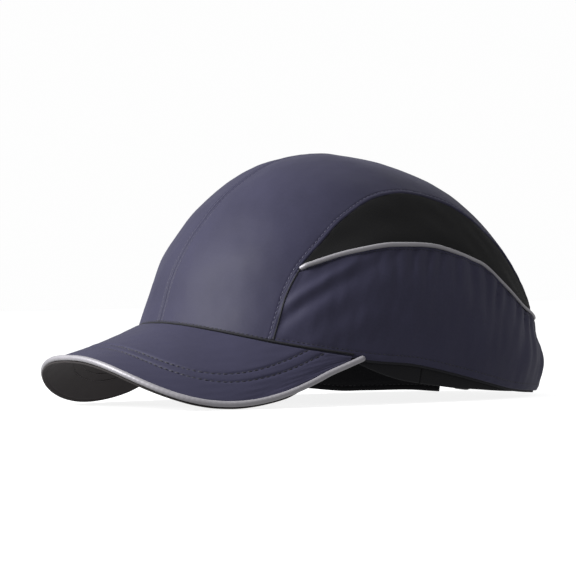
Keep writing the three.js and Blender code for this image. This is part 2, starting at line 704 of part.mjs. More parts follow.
// ---------------------------------------------------------------- protective liner
// A dome between two depths; its open foot lies at LINER_BOTTOM.
function linerDome() {
  const rows = 9;
  const profile = [];
  for (let i = 0; i <= rows; i += 1) profile.push([i / rows, 0]);
  for (let i = rows; i >= 0; i -= 1) profile.push([i / rows, 1]);
  const points = profile.map(([down, inside]) => new THREE.Vector2(down, inside));
  const lathe = new THREE.LatheGeometry(points, 48);
  const foot = Math.PI / 2;
  const position = lathe.attributes.position;
  const hub = new THREE.Vector3(0, 8, LINER_BOTTOM);
  for (let i = 0; i < position.count; i += 1) {
    const x = position.getX(i);
    const y = position.getZ(i);
    const down = Math.hypot(x, y);
    const inside = position.getY(i);
    const tilt = down * foot;
    const out = new THREE.Vector3(0, 0, Math.cos(tilt));
    if (down > 1e-6) out.add(new THREE.Vector3((x / down) * Math.sin(tilt), (y / down) * Math.sin(tilt), 0));
    const p = castToCrown(hub, hub.clone().add(out), LINER_DEPTH + LINER_SHELL * inside);
    position.setXYZ(i, p.x, p.y, p.z);
  }
  lathe.computeVertexNormals();
  return lathe;
}

function ventCutter(angle) {
  const length = 70;
  const reach = 75;
  const cutter = new THREE.BoxGeometry(VENT_WIDTH, length, VENT_HEIGHT);
  cutter.translate(0, -reach, VENT_MID_Z);
  return cutter.rotateZ(radians(angle));
}

function linerShell() {
  let solid = toSolid(linerDome());
  for (let i = 0; i < VENT_COUNT; i += 1) {
    solid = solid.subtract(toSolid(ventCutter((360 * (i + 0.5)) / VENT_COUNT)));
  }
  return fromSolid(solid);
}

const PAD_BOTTOM = 19;
const PAD_TOP = 42;
const FRONT_PAD_HALF_ANGLE = 34;
const SIDE_PAD_START_ANGLE = 58;
const SIDE_PAD_END_ANGLE = 118;
const REAR_PAD_HALF_ANGLE = 32;

function wallPad(from, to) {
  return slab(8, 3, (around, up, layer) => {
    return wallPoint(mix(from, to, around), mix(PAD_BOTTOM, PAD_TOP, up), PAD_DEPTH + mix(FOAM, 0, layer));
  });
}

const CROWN_PAD_FACE_Z = 73;
const CROWN_PAD_CLEARANCE = 1.2;
const CROWN_PAD_HALF = new THREE.Vector2(30, 36);

function crownPad() {
  return slab(6, 6, (across, along, layer) => {
    const x = mix(-1, 1, across) * CROWN_PAD_HALF.x;
    const y = mix(-1, 1, along) * CROWN_PAD_HALF.y;
    if (layer < 0.5) return new THREE.Vector3(x, y, CROWN_PAD_FACE_Z);
    const floor = new THREE.Vector3(x, y, 0);
    const top = castToCrown(floor, floor.clone().add(new THREE.Vector3(0, 0, 1)));
    return new THREE.Vector3(x, y, top.z - PAD_DEPTH - CROWN_PAD_CLEARANCE);
  });
}

addPiece('liner_shell', linerShell(), 'shell');
addPiece('pad_front', wallPad(-FRONT_PAD_HALF_ANGLE, FRONT_PAD_HALF_ANGLE), 'foam');
addPair('pad_side', wallPad(SIDE_PAD_START_ANGLE, SIDE_PAD_END_ANGLE), 'foam');
addPiece('pad_rear', wallPad(180 - REAR_PAD_HALF_ANGLE, 180 + REAR_PAD_HALF_ANGLE), 'foam');
addPiece('pad_crown', crownPad(), 'foam');

const cap = new THREE.Group();
cap.add(headGroup);

export default cap;
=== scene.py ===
import math

import bmesh
import bpy
import numpy as np
from mathutils import Matrix, Vector


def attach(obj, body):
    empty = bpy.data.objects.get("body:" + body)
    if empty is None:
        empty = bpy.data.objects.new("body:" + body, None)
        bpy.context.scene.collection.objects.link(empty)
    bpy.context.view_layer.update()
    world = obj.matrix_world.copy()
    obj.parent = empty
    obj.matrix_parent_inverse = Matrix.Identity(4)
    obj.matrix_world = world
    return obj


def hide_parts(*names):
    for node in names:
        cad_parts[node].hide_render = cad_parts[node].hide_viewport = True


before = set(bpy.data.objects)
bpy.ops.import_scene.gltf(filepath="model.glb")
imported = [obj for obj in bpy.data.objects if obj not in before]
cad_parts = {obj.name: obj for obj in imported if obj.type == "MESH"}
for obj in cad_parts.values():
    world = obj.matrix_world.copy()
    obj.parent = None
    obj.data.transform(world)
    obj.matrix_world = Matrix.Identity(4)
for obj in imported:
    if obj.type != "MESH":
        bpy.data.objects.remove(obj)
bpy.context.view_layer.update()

MM = 0.001
SIDES = (("left", False), ("right", True))  # a right-hand piece is the left one mirrored

# ------------------------------------------------------------------ driving dimensions, mm
CROWN_HALF_WIDTH = 88
CROWN_FRONT_REACH = 101
CROWN_REAR_REACH = 117
CROWN_HEIGHT = 92
CROWN_FRONT_POWER = 2.18
CROWN_REAR_POWER = 2.4
CROWN_SIDE_POWER = 2.6
CROWN_TOP_POWER = 1.45
CROWN_FLARE = 0.15
HEAD_TILT = math.radians(14.3)
HEAD_LIFT = 35.95
BODY_SHIFT_Y = 20.5

FABRIC = 1.0
MESH_THICKNESS = 0.8
SIDE_PIPING_RADIUS = 1.25
VISOR_PIPING_RADIUS = 1.5
SIDE_RADIUS = 95
REAR_RADIUS = 105

VISOR_HALF_WIDTH = 86
VISOR_FORWARD = 121.9
VISOR_CORNER_Y = 34
VISOR_PLAN_POWER = 2.8
VISOR_MID_Z = 53.3
VISOR_PITCH = math.radians(27)
VISOR_DROOP = 69.6
VISOR_DROOP_POWER = 2.57
VISOR_ROOT_ANGLE = 67.5
VISOR_EDGE_ANGLE = 88.9
VISOR_HALF_THICKNESS = 1.5
VISOR_SAG = 1.2
VISOR_PIPING_RAISE = 1.0
VISOR_PIPING_INSET = 0.6
VISOR_PIPING_SPAN = 0.955
PIPING_TAIL_ANGLE = 70.8
PIPING_TAIL_RISE = 0.6

STRAP_WIDTH = 20
STRAP_BOTTOM = -4.5
STRAP_THICKNESS = 1.0
STRAP_DEPTH = 1.7
OPENING_HALF_WIDTH = 44
OPENING_SHOULDER = 29
OPENING_TOP = 47
REAR_EDGE_ANGLE = 158

# Stations are [angle or coordinate, value]. Angles go round the head band from the front (0)
# past the left ear (90) to the back (180).
RIM = [(0, -20.8), (45, -23.6), (72, -21.2), (92, -17), (128, -15.4), (152, -9.6), (180, -6.4)]
SIDE_PIPING = [(32, 4), (46, 18), (60, 31), (77, 41), (100, 46.5), (118, 45), (130, 37), (141, 30), (158, 29)]
BAND_HALF_WIDTH = [(0, 66.6), (40, 66.3), (58, 63.5), (75, 58.5), (92, 53.5), (112, 50),
                   (135, 47.6), (156, 44.2)]
SWEATBAND_DROP_LEFT = [(0, 0), (60, 0), (90, 9), (105, 7.5), (120, 4), (135, 1), (150, 0.3)]
SWEATBAND_DROP_RIGHT = [(0, 0), (60, 0), (90, 9), (105, 9), (120, 6.7), (127, 5.4), (135, 3.4), (150, 2)]


# ------------------------------------------------------------------ curves and the crown
def through(stations, at):
    """A smooth curve through stations that never overshoots them."""
    x = np.array([s[0] for s in stations], float)
    y = np.array([s[1] for s in stations], float)
    secant = np.diff(y) / np.diff(x)
    slope = np.zeros(len(x))
    for k in range(1, len(x) - 1):
        before, after = secant[k - 1], secant[k]
        slope[k] = 0 if before * after <= 0 else 2 * before * after / (before + after)
    at = np.clip(np.asarray(at, float), x[0], x[-1])
    i = np.clip(np.searchsorted(x, at, side="left") - 1, 0, len(x) - 2)
    span = x[i + 1] - x[i]
    t = (at - x[i]) / span
    rise = y[i + 1] - y[i]
    m0 = slope[i] * span
    m1 = slope[i + 1] * span
    return y[i] + m0 * t + (3 * rise - 2 * m0 - m1) * t**2 + (m0 + m1 - 2 * rise) * t**3


def mix(a, b, t):
    return a + (b - a) * t


def points(x, y, z):
    return np.stack(np.broadcast_arrays(x, y, z), -1).astype(float)


def unit(v):
    return v / np.maximum(np.linalg.norm(v, axis=-1, keepdims=True), 1e-12)


def walked_along(line):
    """The distance walked to each point of a line."""
    return np.concatenate([[0], np.cumsum(np.linalg.norm(np.diff(line, axis=0), axis=1))])


def sample(at, known, values):
    """Points or directions given at known places, read off at others."""
    return np.stack([np.interp(at, known, values[:, i]) for i in range(3)], -1)


def rows_at(wanted, distances, face, normals):
    """From each grid row that reaches its wanted distance, the point and the normal there."""
    places, facings = [], []
    for target, d, spots, turns in zip(wanted, distances, face, normals):
        if d.max() >= target:
            order = np.argsort(d)
            places.append(sample(target, d[order], spots[order]))
            facings.append(sample(target, d[order], turns[order]))
    return np.array(places), unit(np.array(facings))


def crown_field(p):
    """Zero on the crown's outer face and negative inside it."""
    x, y, z = p[..., 0], p[..., 1], p[..., 2]
    reach = np.where(y < 0, CROWN_FRONT_REACH, CROWN_REAR_REACH)
    power = np.where(y < 0, CROWN_FRONT_POWER, CROWN_REAR_POWER)
    plan = np.abs(x / CROWN_HALF_WIDTH) ** power + np.abs(y / reach) ** power
    level = z / CROWN_HEIGHT
    top = np.where(level > 0, np.abs(level) ** CROWN_TOP_POWER, CROWN_FLARE * level)
    return plan ** (CROWN_SIDE_POWER / power) + top - 1


def crown_normal(p):
    step = 0.05
    slopes = []
    for axis in range(3):
        shift = np.zeros(3)
        shift[axis] = step
        slopes.append(crown_field(p + shift) - crown_field(p - shift))
    return unit(np.stack(slopes, -1))


BEYOND_CROWN = 260.0


def cast(hub, towards, depth=0.0):
    """Where the ray from hub through towards meets the crown, sunk by depth."""
    hub, towards = np.broadcast_arrays(np.asarray(hub, float), np.asarray(towards, float))
    ray = unit(towards - hub)
    near = np.zeros(ray.shape[:-1])
    far = near + BEYOND_CROWN
    for _ in range(40):
        middle = (near + far) / 2
        inside = crown_field(hub + ray * middle[..., None]) < 0
        near = np.where(inside, middle, near)
        far = np.where(inside, far, middle)
    hit = hub + ray * near[..., None]
    return hit - crown_normal(hit) * np.asarray(depth, float)[..., None]


def wall(angle, z, depth=0.0):
    """A point at an angle round the head band and a height above it."""
    angle, z = np.broadcast_arrays(np.radians(angle), np.asarray(z, float))
    hub = points(0, 0, z)
    return cast(hub, hub + points(np.sin(angle), -np.cos(angle), 0), depth)


ROLL_CENTRE_Z = -20
HUB = np.array([0.0, 8.0, ROLL_CENTRE_Z])


def band(roll, x, depth=0.0):
    """A point of the centre band; roll turns from the front (0) over the top to the back."""
    roll, x = np.broadcast_arrays(np.radians(roll), np.asarray(x, float))
    hub = points(x, 0, ROLL_CENTRE_Z)
    return cast(hub, hub + points(0, -np.cos(roll), np.sin(roll)), depth)


def roll_of(p):
    return np.degrees(np.arctan2(p[..., 2] - ROLL_CENTRE_Z, -p[..., 1]))


def front_roll(x):
    root = band(0, x)
    angle = np.degrees(np.arctan2(np.abs(root[..., 0]), -root[..., 1]))
    root[..., 2] = through(RIM, angle)
    return roll_of(root)


def arch_height(x):
    across = np.minimum(np.abs(x) / (OPENING_HALF_WIDTH + 2), 1)
    return mix(OPENING_SHOULDER, OPENING_TOP, np.sqrt(1 - across**2))


def rear_roll(x):
    hub = points(x, 0, arch_height(x))
    return roll_of(cast(hub, hub + points(0, 1, 0)))


PIPING_FRONT_ANGLE = 46
SEAM_FRONT_ROLL = float(roll_of(wall(PIPING_FRONT_ANGLE, through(SIDE_PIPING, PIPING_FRONT_ANGLE))))
SEAM_FOOT_ROLL = float(front_roll(BAND_HALF_WIDTH[0][1]))
SEAM_REAR_ROLL = float(rear_roll(OPENING_HALF_WIDTH))
SEAM_ROLLS = np.linspace(SEAM_FOOT_ROLL - 4, SEAM_FRONT_ROLL + 6, 40)
SEAM_FRONT = band(SEAM_ROLLS, through(BAND_HALF_WIDTH, SEAM_ROLLS))


def seam_angle(z):
    """The angle round the head band at which the crown's front seam passes a height."""
    angle = np.degrees(np.arctan2(SEAM_FRONT[:, 0], -SEAM_FRONT[:, 1]))
    return np.interp(z, SEAM_FRONT[:, 2], angle)


def to_row(p):
    """Head frame, mm, to row frame, m."""
    c, s = math.cos(HEAD_TILT), math.sin(HEAD_TILT)
    x, y, z = p[..., 0], p[..., 1], p[..., 2]
    return points(x, y * c + z * s + BODY_SHIFT_Y, z * c - y * s + HEAD_LIFT) * MM


def from_table(p):
    """Table level at the head band's middle, mm, to head frame."""
    c, s = math.cos(HEAD_TILT), math.sin(HEAD_TILT)
    y, z = p[..., 1], p[..., 2] - HEAD_LIFT
    return points(p[..., 0], y * c - z * s, y * s + z * c)


# ------------------------------------------------------------------ deterministic unevenness
def wander(a, b, seed):
    """Smooth irregular values of about -1 to 1 over two coordinates, one wave per unit or so."""
    total = 0
    weight = 0
    for k in range(5):
        turn = 2.399 * k + seed
        fast = 0.7 + 0.37 * k
        total = total + np.sin(2 * math.pi * fast * (a * math.cos(turn) + b * math.sin(turn))
                               + 1.7 * seed + 2.1 * k) / (1 + 0.4 * k)
        weight += 1 / (1 + 0.4 * k)
    return 1.6 * total / weight


def bump_at(d, centre, width):
    return np.exp(-((d - centre) / width) ** 2)


# ------------------------------------------------------------------ cloth panels
EDGE_STEPS = np.array([0, 0.2, 0.5, 0.9, 1.35, 1.75, 2.05, 2.3, 2.55, 2.8, 3.1, 3.5, 4.1, 5.0])


def stations(length, pitch):
    """Places from 0 to 1 along an edge: fine steps at both ends, even ones of pitch between."""
    if length < 2.2 * EDGE_STEPS[-1]:
        count = max(6, int(length / 0.7))
        return np.linspace(0, 1, count + 1)
    ends = EDGE_STEPS / length
    count = max(2, int((length - 2 * EDGE_STEPS[-1]) / pitch))
    inner = np.linspace(ends[-1], 1 - ends[-1], count + 1)[1:-1]
    return np.concatenate([ends, inner, 1 - ends[::-1]])


def run_along(grid, axis):
    """Distance walked along one grid direction, from its start and from its end."""
    step = np.linalg.norm(np.diff(grid, axis=axis), axis=-1)
    first = np.zeros_like(np.take(step, [0], axis=axis))
    start = np.concatenate([first, np.cumsum(step, axis=axis)], axis=axis)
    return start, np.take(start, [-1], axis=axis) - start


def turned_edge(d, drop=0.8, radius=1.2):
    """How far a turned-under edge falls away at a distance from it."""
    near = np.clip(1 - d / radius, 0, 1)
    return drop * (1 - np.sqrt(1 - near**2))


def smooth_step(t):
    t = np.clip(t, 0, 1)
    return t**2 * (3 - 2 * t)


def tuck(d, depth, reach):
    """How far an edge dives at a distance from it, to pass under the piece it is sewn to."""
    return depth * smooth_step(1 - d / reach)


SEAM_LAP = 1.1
LAP_ANGLE = 0.7


class Panel:
    """A sheet of cloth on a grid: base points, distances to its four edges, outer face."""

    def __init__(self, base, normals=None):
        self.base = base
        self.normals = crown_normal(base) if normals is None else normals
        self.u0, self.u1 = run_along(base, 0)
        self.v0, self.v1 = run_along(base, 1)
        self.relief = np.zeros(base.shape[:2])

    @property
    def outer(self):
        return self.base + self.normals * self.relief[..., None]

    @property
    def uv(self):
        return np.stack([self.u0, self.v0], -1).reshape(-1, 2) * MM

    def line(self, edge, distance, lift=0.0):
        """The points at a distance from one edge, and the normals there."""
        grids = [getattr(self, edge), self.outer + self.normals * lift, self.normals]
        if edge[0] == "u":
            grids = [np.swapaxes(values, 0, 1) for values in grids]
        return rows_at([distance] * len(grids[0]), *grids)


def mesh_object(name, vertices, faces, material, uv=None, smooth_angle=42):
    mesh = bpy.data.meshes.new(name)
    mesh.from_pydata([tuple(v) for v in vertices], [], faces)
    mesh.validate()
    shape = bmesh.new()
    shape.from_mesh(mesh)
    bmesh.ops.recalc_face_normals(shape, faces=shape.faces[:])
    shape.to_mesh(mesh)
    shape.free()
    if uv is not None:
        layer = mesh.uv_layers.new(name="cloth")
        loops = np.zeros(len(mesh.loops), np.int32)
        mesh.loops.foreach_get("vertex_index", loops)
        layer.data.foreach_set("uv", np.asarray(uv, np.float32)[loops].ravel())
    mesh.shade_smooth()
    mesh.set_sharp_from_angle(angle=math.radians(smooth_angle))
    mesh.materials.append(MATERIALS[material])
    obj = bpy.data.objects.new(name, mesh)
    bpy.context.scene.collection.objects.link(obj)
    return obj


def slab_faces(nu, nv):
    """Faces of a closed slab whose outer grid comes first and inner grid second."""
    def at(layer, i, j):
        return layer * nu * nv + i * nv + j

    faces = []
    for i in range(nu - 1):
        for j in range(nv - 1):
            faces.append((at(0, i, j), at(0, i + 1, j), at(0, i + 1, j + 1), at(0, i, j + 1)))
            faces.append((at(1, i, j), at(1, i, j + 1), at(1, i + 1, j + 1), at(1, i + 1, j)))
    for i in range(nu - 1):
        k, n = i + 1, nv - 1
        faces.append((at(1, i, 0), at(1, k, 0), at(0, k, 0), at(0, i, 0)))
        faces.append((at(0, i, n), at(0, k, n), at(1, k, n), at(1, i, n)))
    for j in range(nv - 1):
        k, n = j + 1, nu - 1
        faces.append((at(0, 0, j), at(0, 0, k), at(1, 0, k), at(1, 0, j)))
        faces.append((at(1, n, j), at(1, n, k), at(0, n, k), at(0, n, j)))
    return faces


def mirror(p):
    return p * np.array([-1.0, 1.0, 1.0])


def make_slab(name, outer, inner, uv, material, flip=False):
    nu, nv = outer.shape[:2]
    vertices = np.concatenate([outer.reshape(-1, 3), inner.reshape(-1, 3)])
    faces = slab_faces(nu, nv)
    if flip:
        vertices = mirror(vertices)
        faces = [f[::-1] for f in faces]
    return mesh_object(name, to_row(vertices), faces, material, np.concatenate([uv, uv]))


THINNEST_CLOTH = 0.45


def cloth(name, panel, thickness, material, flip=False, inner_relief=0.6):
    """A closed sheet from a panel; its inner face repeats part of the outer face's relief."""
    inside = np.minimum(panel.relief * inner_relief - thickness,
                        panel.relief - THINNEST_CLOTH * thickness)
    inner = panel.base + panel.normals * inside[..., None]
    return make_slab(name, panel.outer, inner, panel.uv, material, flip)


# ------------------------------------------------------------------ thread and tubes
def along_line(line, facing, pitch):
    """Evenly spaced places along a line: centre, direction ahead and direction up."""
    walked = walked_along(line)
    count = max(2, int(walked[-1] / pitch))
    at = (np.arange(count) + 0.5) * walked[-1] / count
    ahead = sample(at + 0.3, walked, line) - sample(at - 0.3, walked, line)
    return sample(at, walked, line), unit(ahead), unit(sample(at, walked, facing))


# How far a stitch's ends sink into the cloth, and its rings as (place along it, girth).
STITCH_BITE = 0.16
STITCH_RINGS = [(-1.0, 0.0), (-0.86, 0.62), (-0.45, 1.0), (0.45, 1.0), (0.86, 0.62), (1.0, 0.0)]


def stitch_mesh(rows, pitch=2.5, length=1.9, radius=0.23, sides=6):
    """Vertices and faces of one thread loop per stitch along each (line, facing) row."""
    vertices, faces = [], []
    for line, facing in rows:
        centre, ahead, up = along_line(line, facing, pitch)
        side = unit(np.cross(ahead, up))
        for c, a, u, s in zip(centre, ahead, up, side):
            first = len(vertices)
            for reach, girth in STITCH_RINGS:
                spine = c + a * reach * length / 2 - u * STITCH_BITE * reach**2
                if girth == 0:
                    vertices.append(spine)
                    continue
                for k in range(sides):
                    turn = 2 * math.pi * k / sides
                    vertices.append(spine + (s * math.cos(turn) + u * math.sin(turn)) * radius * girth)
            rings = [first + 1 + r * sides for r in range(len(STITCH_RINGS) - 2)]
            last = rings[-1] + sides
            for k in range(sides):
                following = (k + 1) % sides
                faces.append((first, rings[0] + k, rings[0] + following))
                for r in rings[:-1]:
                    faces.append((r + k, r + sides + k, r + sides + following, r + following))
                faces.append((rings[-1] + k, last, rings[-1] + following))
    return np.array(vertices), faces


def stitches(name, rows, material, **sizes):
    vertices, faces = stitch_mesh(rows, **sizes)
    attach(mesh_object(name, to_row(vertices), faces, material, smooth_angle=80), "root")


def both_sides(rows):
    return rows + [(mirror(line), mirror(facing)) for line, facing in rows]


def sweep(name, line, facing, radius, material, sides=14, seed=1.0, taper=1.0):
    """A round cord with domed ends along a line, slightly uneven as sewn piping is."""
    ahead = unit(np.gradient(line, axis=0))
    side = unit(np.cross(ahead, facing))
    up = np.cross(side, ahead)
    walked = walked_along(line)
    total = walked[-1]
    girth = 1 + 0.02 * wander(walked / 9, walked / 31, seed)
    girth = girth * mix(1.0, taper, smooth_step(walked / total * 1.6 - 0.35))
    tip = np.minimum(walked, total - walked)
    girth = girth * np.sqrt(np.clip(1 - np.clip(1 - tip / (0.8 * radius), 0, 1) ** 2, 0.02, 1))
    vertices, uv, faces = [], [], []
    for c, s, u, g, w in zip(line, side, up, girth, walked):
        for k in range(sides):
            turn = 2 * math.pi * k / sides
            vertices.append(c + (s * math.cos(turn) + u * math.sin(turn)) * radius * g)
            uv.append((w * MM, turn * radius * MM))
    for i in range(len(line) - 1):
        for k in range(sides):
            a, b = i * sides + k, i * sides + (k + 1) % sides
            faces.append((a, a + sides, b + sides, b))
    faces.append(tuple(range(sides)))
    faces.append(tuple(range((len(line) - 1) * sides, len(line) * sides))[::-1])
    return mesh_object(name, to_row(np.array(vertices)), faces, material, np.array(uv), 60)


def resample(line, pitch):
    walked = walked_along(line)
    count = max(4, int(walked[-1] / pitch))
    return sample(np.linspace(0, walked[-1], count + 1), walked, line)


def with_tips(line):
    """Adds close points at both ends, so that a cord's ends can be domed."""
    steps = np.linspace(0, 0.85, 5)[:-1]
    first = [line[0] + (line[1] - line[0]) * t for t in steps]
    last = [line[-1] + (line[-2] - line[-1]) * t for t in steps[::-1]]
    return np.concatenate([first, line[1:-1], last])


# ------------------------------------------------------------------ materials
class Nodes:
    """Short hand for one procedural material."""

    def __init__(self, name, colour, roughness, **sockets):
        self.material = bpy.data.materials.new(name)
        self.material.use_nodes = True
        self.tree = self.material.node_tree
        self.shader = self.tree.nodes["Principled BSDF"]
        self.shader.inputs["Base Color"].default_value = (*colour, 1)
        self.shader.inputs["Roughness"].default_value = roughness
        self.colour = colour
        for socket, value in sockets.items():
            self.shader.inputs[socket.replace("_", " ")].default_value = value

    def new(self, kind, **values):
        node = self.tree.nodes.new(kind)
        for key, value in values.items():
            setattr(node, key, value)
        return node

    def link(self, a, b):
        self.tree.links.new(a, b)

    def coordinates(self, kind, scale):
        source = self.new("ShaderNodeTexCoord")
        mapping = self.new("ShaderNodeMapping")
        mapping.inputs["Scale"].default_value = scale
        self.link(source.outputs[kind], mapping.inputs["Vector"])
        return mapping.outputs["Vector"]

    def noise(self, kind, size_mm, detail, rough=0.5):
        node = self.new("ShaderNodeTexNoise")
        node.inputs["Scale"].default_value = 1.0
        node.inputs["Detail"].default_value = detail
        node.inputs["Roughness"].default_value = rough
        rate = 1 / (size_mm * MM)
        self.link(self.coordinates(kind, (rate,) * 3), node.inputs["Vector"])
        return node.outputs["Fac"]

    def waves(self, direction, pitch_mm, distortion=0.0):
        node = self.new("ShaderNodeTexWave")
        node.wave_type = "BANDS"
        node.bands_direction = direction
        node.wave_profile = "SIN"
        node.inputs["Scale"].default_value = 1.0
        node.inputs["Distortion"].default_value = distortion
        node.inputs["Detail"].default_value = 1.0
        # Blender's band texture repeats every 2*pi/20 units
        rate = (2 * math.pi / 20) / (pitch_mm * MM)
        self.link(self.coordinates("UV", (rate,) * 3), node.inputs["Vector"])
        return node.outputs["Fac"]

    def maths(self, operation, *values):
        node = self.new("ShaderNodeMath", operation=operation)
        for k, value in enumerate(values):
            if isinstance(value, (int, float)):
                node.inputs[k].default_value = value
            else:
                self.link(value, node.inputs[k])
        return node.outputs[0]

    def blend(self, *parts):
        """The sum of (value, weight) parts."""
        total = None
        for value, weight in parts[::-1]:
            share = self.maths("MULTIPLY", value, weight)
            total = share if total is None else self.maths("ADD", share, total)
        return total

    def ramp(self, fac, stops):
        node = self.new("ShaderNodeValToRGB")
        ramp = node.color_ramp
        while len(ramp.elements) < len(stops):
            ramp.elements.new(0.5)
        for element, (place, colour) in zip(ramp.elements, stops):
            element.position = place
            element.color = (*colour, 1)
        self.link(fac, node.inputs["Fac"])
        return node.outputs["Color"]

    def shades(self, fac, low, high):
        """Base colour from low times to high times the material's colour over fac 0 to 1."""
        dark = tuple(c * low for c in self.colour)
        light = tuple(min(1, c * high) for c in self.colour)
        self.link(self.ramp(fac, [(0.0, dark), (1.0, light)]), self.shader.inputs["Base Color"])

    def dull(self, fac, low, high):
        node = self.new("ShaderNodeMapRange")
        node.inputs["To Min"].default_value = low
        node.inputs["To Max"].default_value = high
        self.link(fac, node.inputs["Value"])
        self.link(node.outputs["Result"], self.shader.inputs["Roughness"])

    def bumps(self, *layers):
        """Layers of (height, depth in mm, strength), each laid over the one before."""
        below = None
        for height, depth, strength in layers:
            node = self.new("ShaderNodeBump")
            node.inputs["Strength"].default_value = strength
            node.inputs["Distance"].default_value = depth * MM
            self.link(height, node.inputs["Height"])
            if below is not None:
                self.link(below, node.inputs["Normal"])
            below = node.outputs["Normal"]
        self.link(below, self.shader.inputs["Normal"])


def weave(nodes, pitch):
    """Height of a plain weave: warp and weft threads that pass over each other in turn."""
    warp = nodes.waves("X", pitch)
    weft = nodes.waves("Y", pitch)
    over = nodes.waves("DIAGONAL", pitch * 0.667)
    return nodes.maths("ADD", nodes.maths("MULTIPLY", warp, over),
                       nodes.maths("MULTIPLY", weft, nodes.maths("SUBTRACT", 1.0, over)))


def woven(name, colour, roughness, pitch, contrast=0.16, depth=0.05, cloud=0.12, **sockets):
    """Woven cloth: its threads, slubs and broad lighter and darker clouds."""
    nodes = Nodes(name, colour, roughness, **sockets)
    threads = weave(nodes, pitch)
    clouds = nodes.noise("Object", 28, 4.0)
    slubs = nodes.noise("UV", 1.6, 3.0, 0.6)
    tone = nodes.blend((threads, 0.30), (clouds, 0.45), (slubs, 0.25))
    nodes.shades(tone, 1 - contrast - cloud, 1 + contrast + cloud)
    nodes.dull(clouds, roughness - 0.07, roughness + 0.07)
    nodes.bumps((slubs, 0.05, 0.25), (threads, depth, 0.35))
    return nodes.material


def mesh_cloth(name, colour, roughness, pitch=1.15, depth=0.22):
    """Warp-knit spacer mesh: rounded holes in staggered rows between raised threads; the holes are painted
    darker, as painted shade seen through them.
    """
    nodes = Nodes(name, colour, roughness, Sheen_Weight=0.02, Sheen_Roughness=0.45,
                  Specular_IOR_Level=0.10)
    rows = nodes.waves("X", pitch)
    courses = nodes.waves("Y", pitch * 0.8)
    slant = nodes.waves("DIAGONAL", pitch * 0.75)
    holes = nodes.maths("MULTIPLY", nodes.maths("MULTIPLY", rows, courses), slant)
    knots_and_hole_shade = nodes.maths("SUBTRACT", 1.0, nodes.maths("SMOOTH_MIN", holes, 0.6, 0.2))
    clouds = nodes.noise("Object", 22, 3.0)
    # painted shade: the holes are coloured darker than the raised threads
    nodes.shades(nodes.blend((knots_and_hole_shade, 0.8), (clouds, 0.2)), 0.35, 1.55)
    nodes.dull(clouds, roughness - 0.05, roughness + 0.05)
    nodes.bumps((knots_and_hole_shade, depth, 0.6))
    return nodes.material


def retroreflective(name, colour, roughness):
    """Silver beaded tape over a cord: fine glitter, small creases and rubbed dull patches."""
    nodes = Nodes(name, colour, roughness, Metallic=0.35, Sheen_Weight=0.15)
    beads = nodes.noise("Object", 0.25, 1.0)
    creases = nodes.waves("X", 2.6, distortion=1.5)
    rubbed = nodes.noise("Object", 14, 4.0, 0.6)
    nodes.shades(nodes.blend((rubbed, 0.7), (beads, 0.3)), 0.72, 1.25)
    nodes.dull(rubbed, roughness - 0.08, roughness + 0.14)
    nodes.bumps((creases, 0.10, 0.35), (beads, 0.03, 0.4))
    return nodes.material


def moulded(name, colour, roughness, depth=0.04):
    """Moulded plastic with fine spark grain and faint scuffs."""
    nodes = Nodes(name, colour, roughness)
    grain = nodes.noise("Object", 0.7, 3.0)
    scuffs = nodes.noise("Object", 18, 5.0, 0.65)
    nodes.shades(scuffs, 0.75, 1.3)
    nodes.dull(scuffs, roughness - 0.08, roughness + 0.12)
    nodes.bumps((grain, depth, 0.4))
    return nodes.material


def foam_skin(name, colour, roughness):
    """Closed-cell foam: pores of several sizes under a dull skin."""
    nodes = Nodes(name, colour, roughness, Sheen_Weight=0.1)
    cells = nodes.new("ShaderNodeTexVoronoi")
    nodes.link(nodes.coordinates("Object", (1 / (0.9 * MM),) * 3), cells.inputs["Vector"])
    cells.inputs["Scale"].default_value = 1.0
    clouds = nodes.noise("Object", 12, 4.0)
    nodes.shades(nodes.blend((cells.outputs["Distance"], 0.6), (clouds, 0.4)), 0.65, 1.4)
    nodes.dull(clouds, roughness - 0.05, roughness + 0.05)
    nodes.bumps((cells.outputs["Distance"], 0.15, 0.5))
    return nodes.material


def pile(name, colour, roughness, size_mm, depth):
    """Hook or loop tape: dense little tufts."""
    nodes = Nodes(name, colour, roughness, Sheen_Weight=0.5, Sheen_Roughness=0.5)
    tufts = nodes.noise("Object", size_mm, 2.0, 0.7)
    rows = nodes.waves("X", 1.4, distortion=2.0)
    tone = nodes.maths("MULTIPLY", tufts, nodes.maths("ADD", nodes.maths("MULTIPLY", rows, 0.4), 0.6))
    nodes.shades(tone, 0.4, 2.0)
    nodes.bumps((tone, depth, 0.9))
    return nodes.material


def thread(name, colour):
    nodes = Nodes(name, colour, 0.5, Sheen_Weight=0.08, Specular_IOR_Level=0.3)
    twist = nodes.noise("Object", 0.5, 2.0)
    nodes.shades(twist, 0.7, 1.4)
    nodes.bumps((twist, 0.05, 0.5))
    return nodes.material


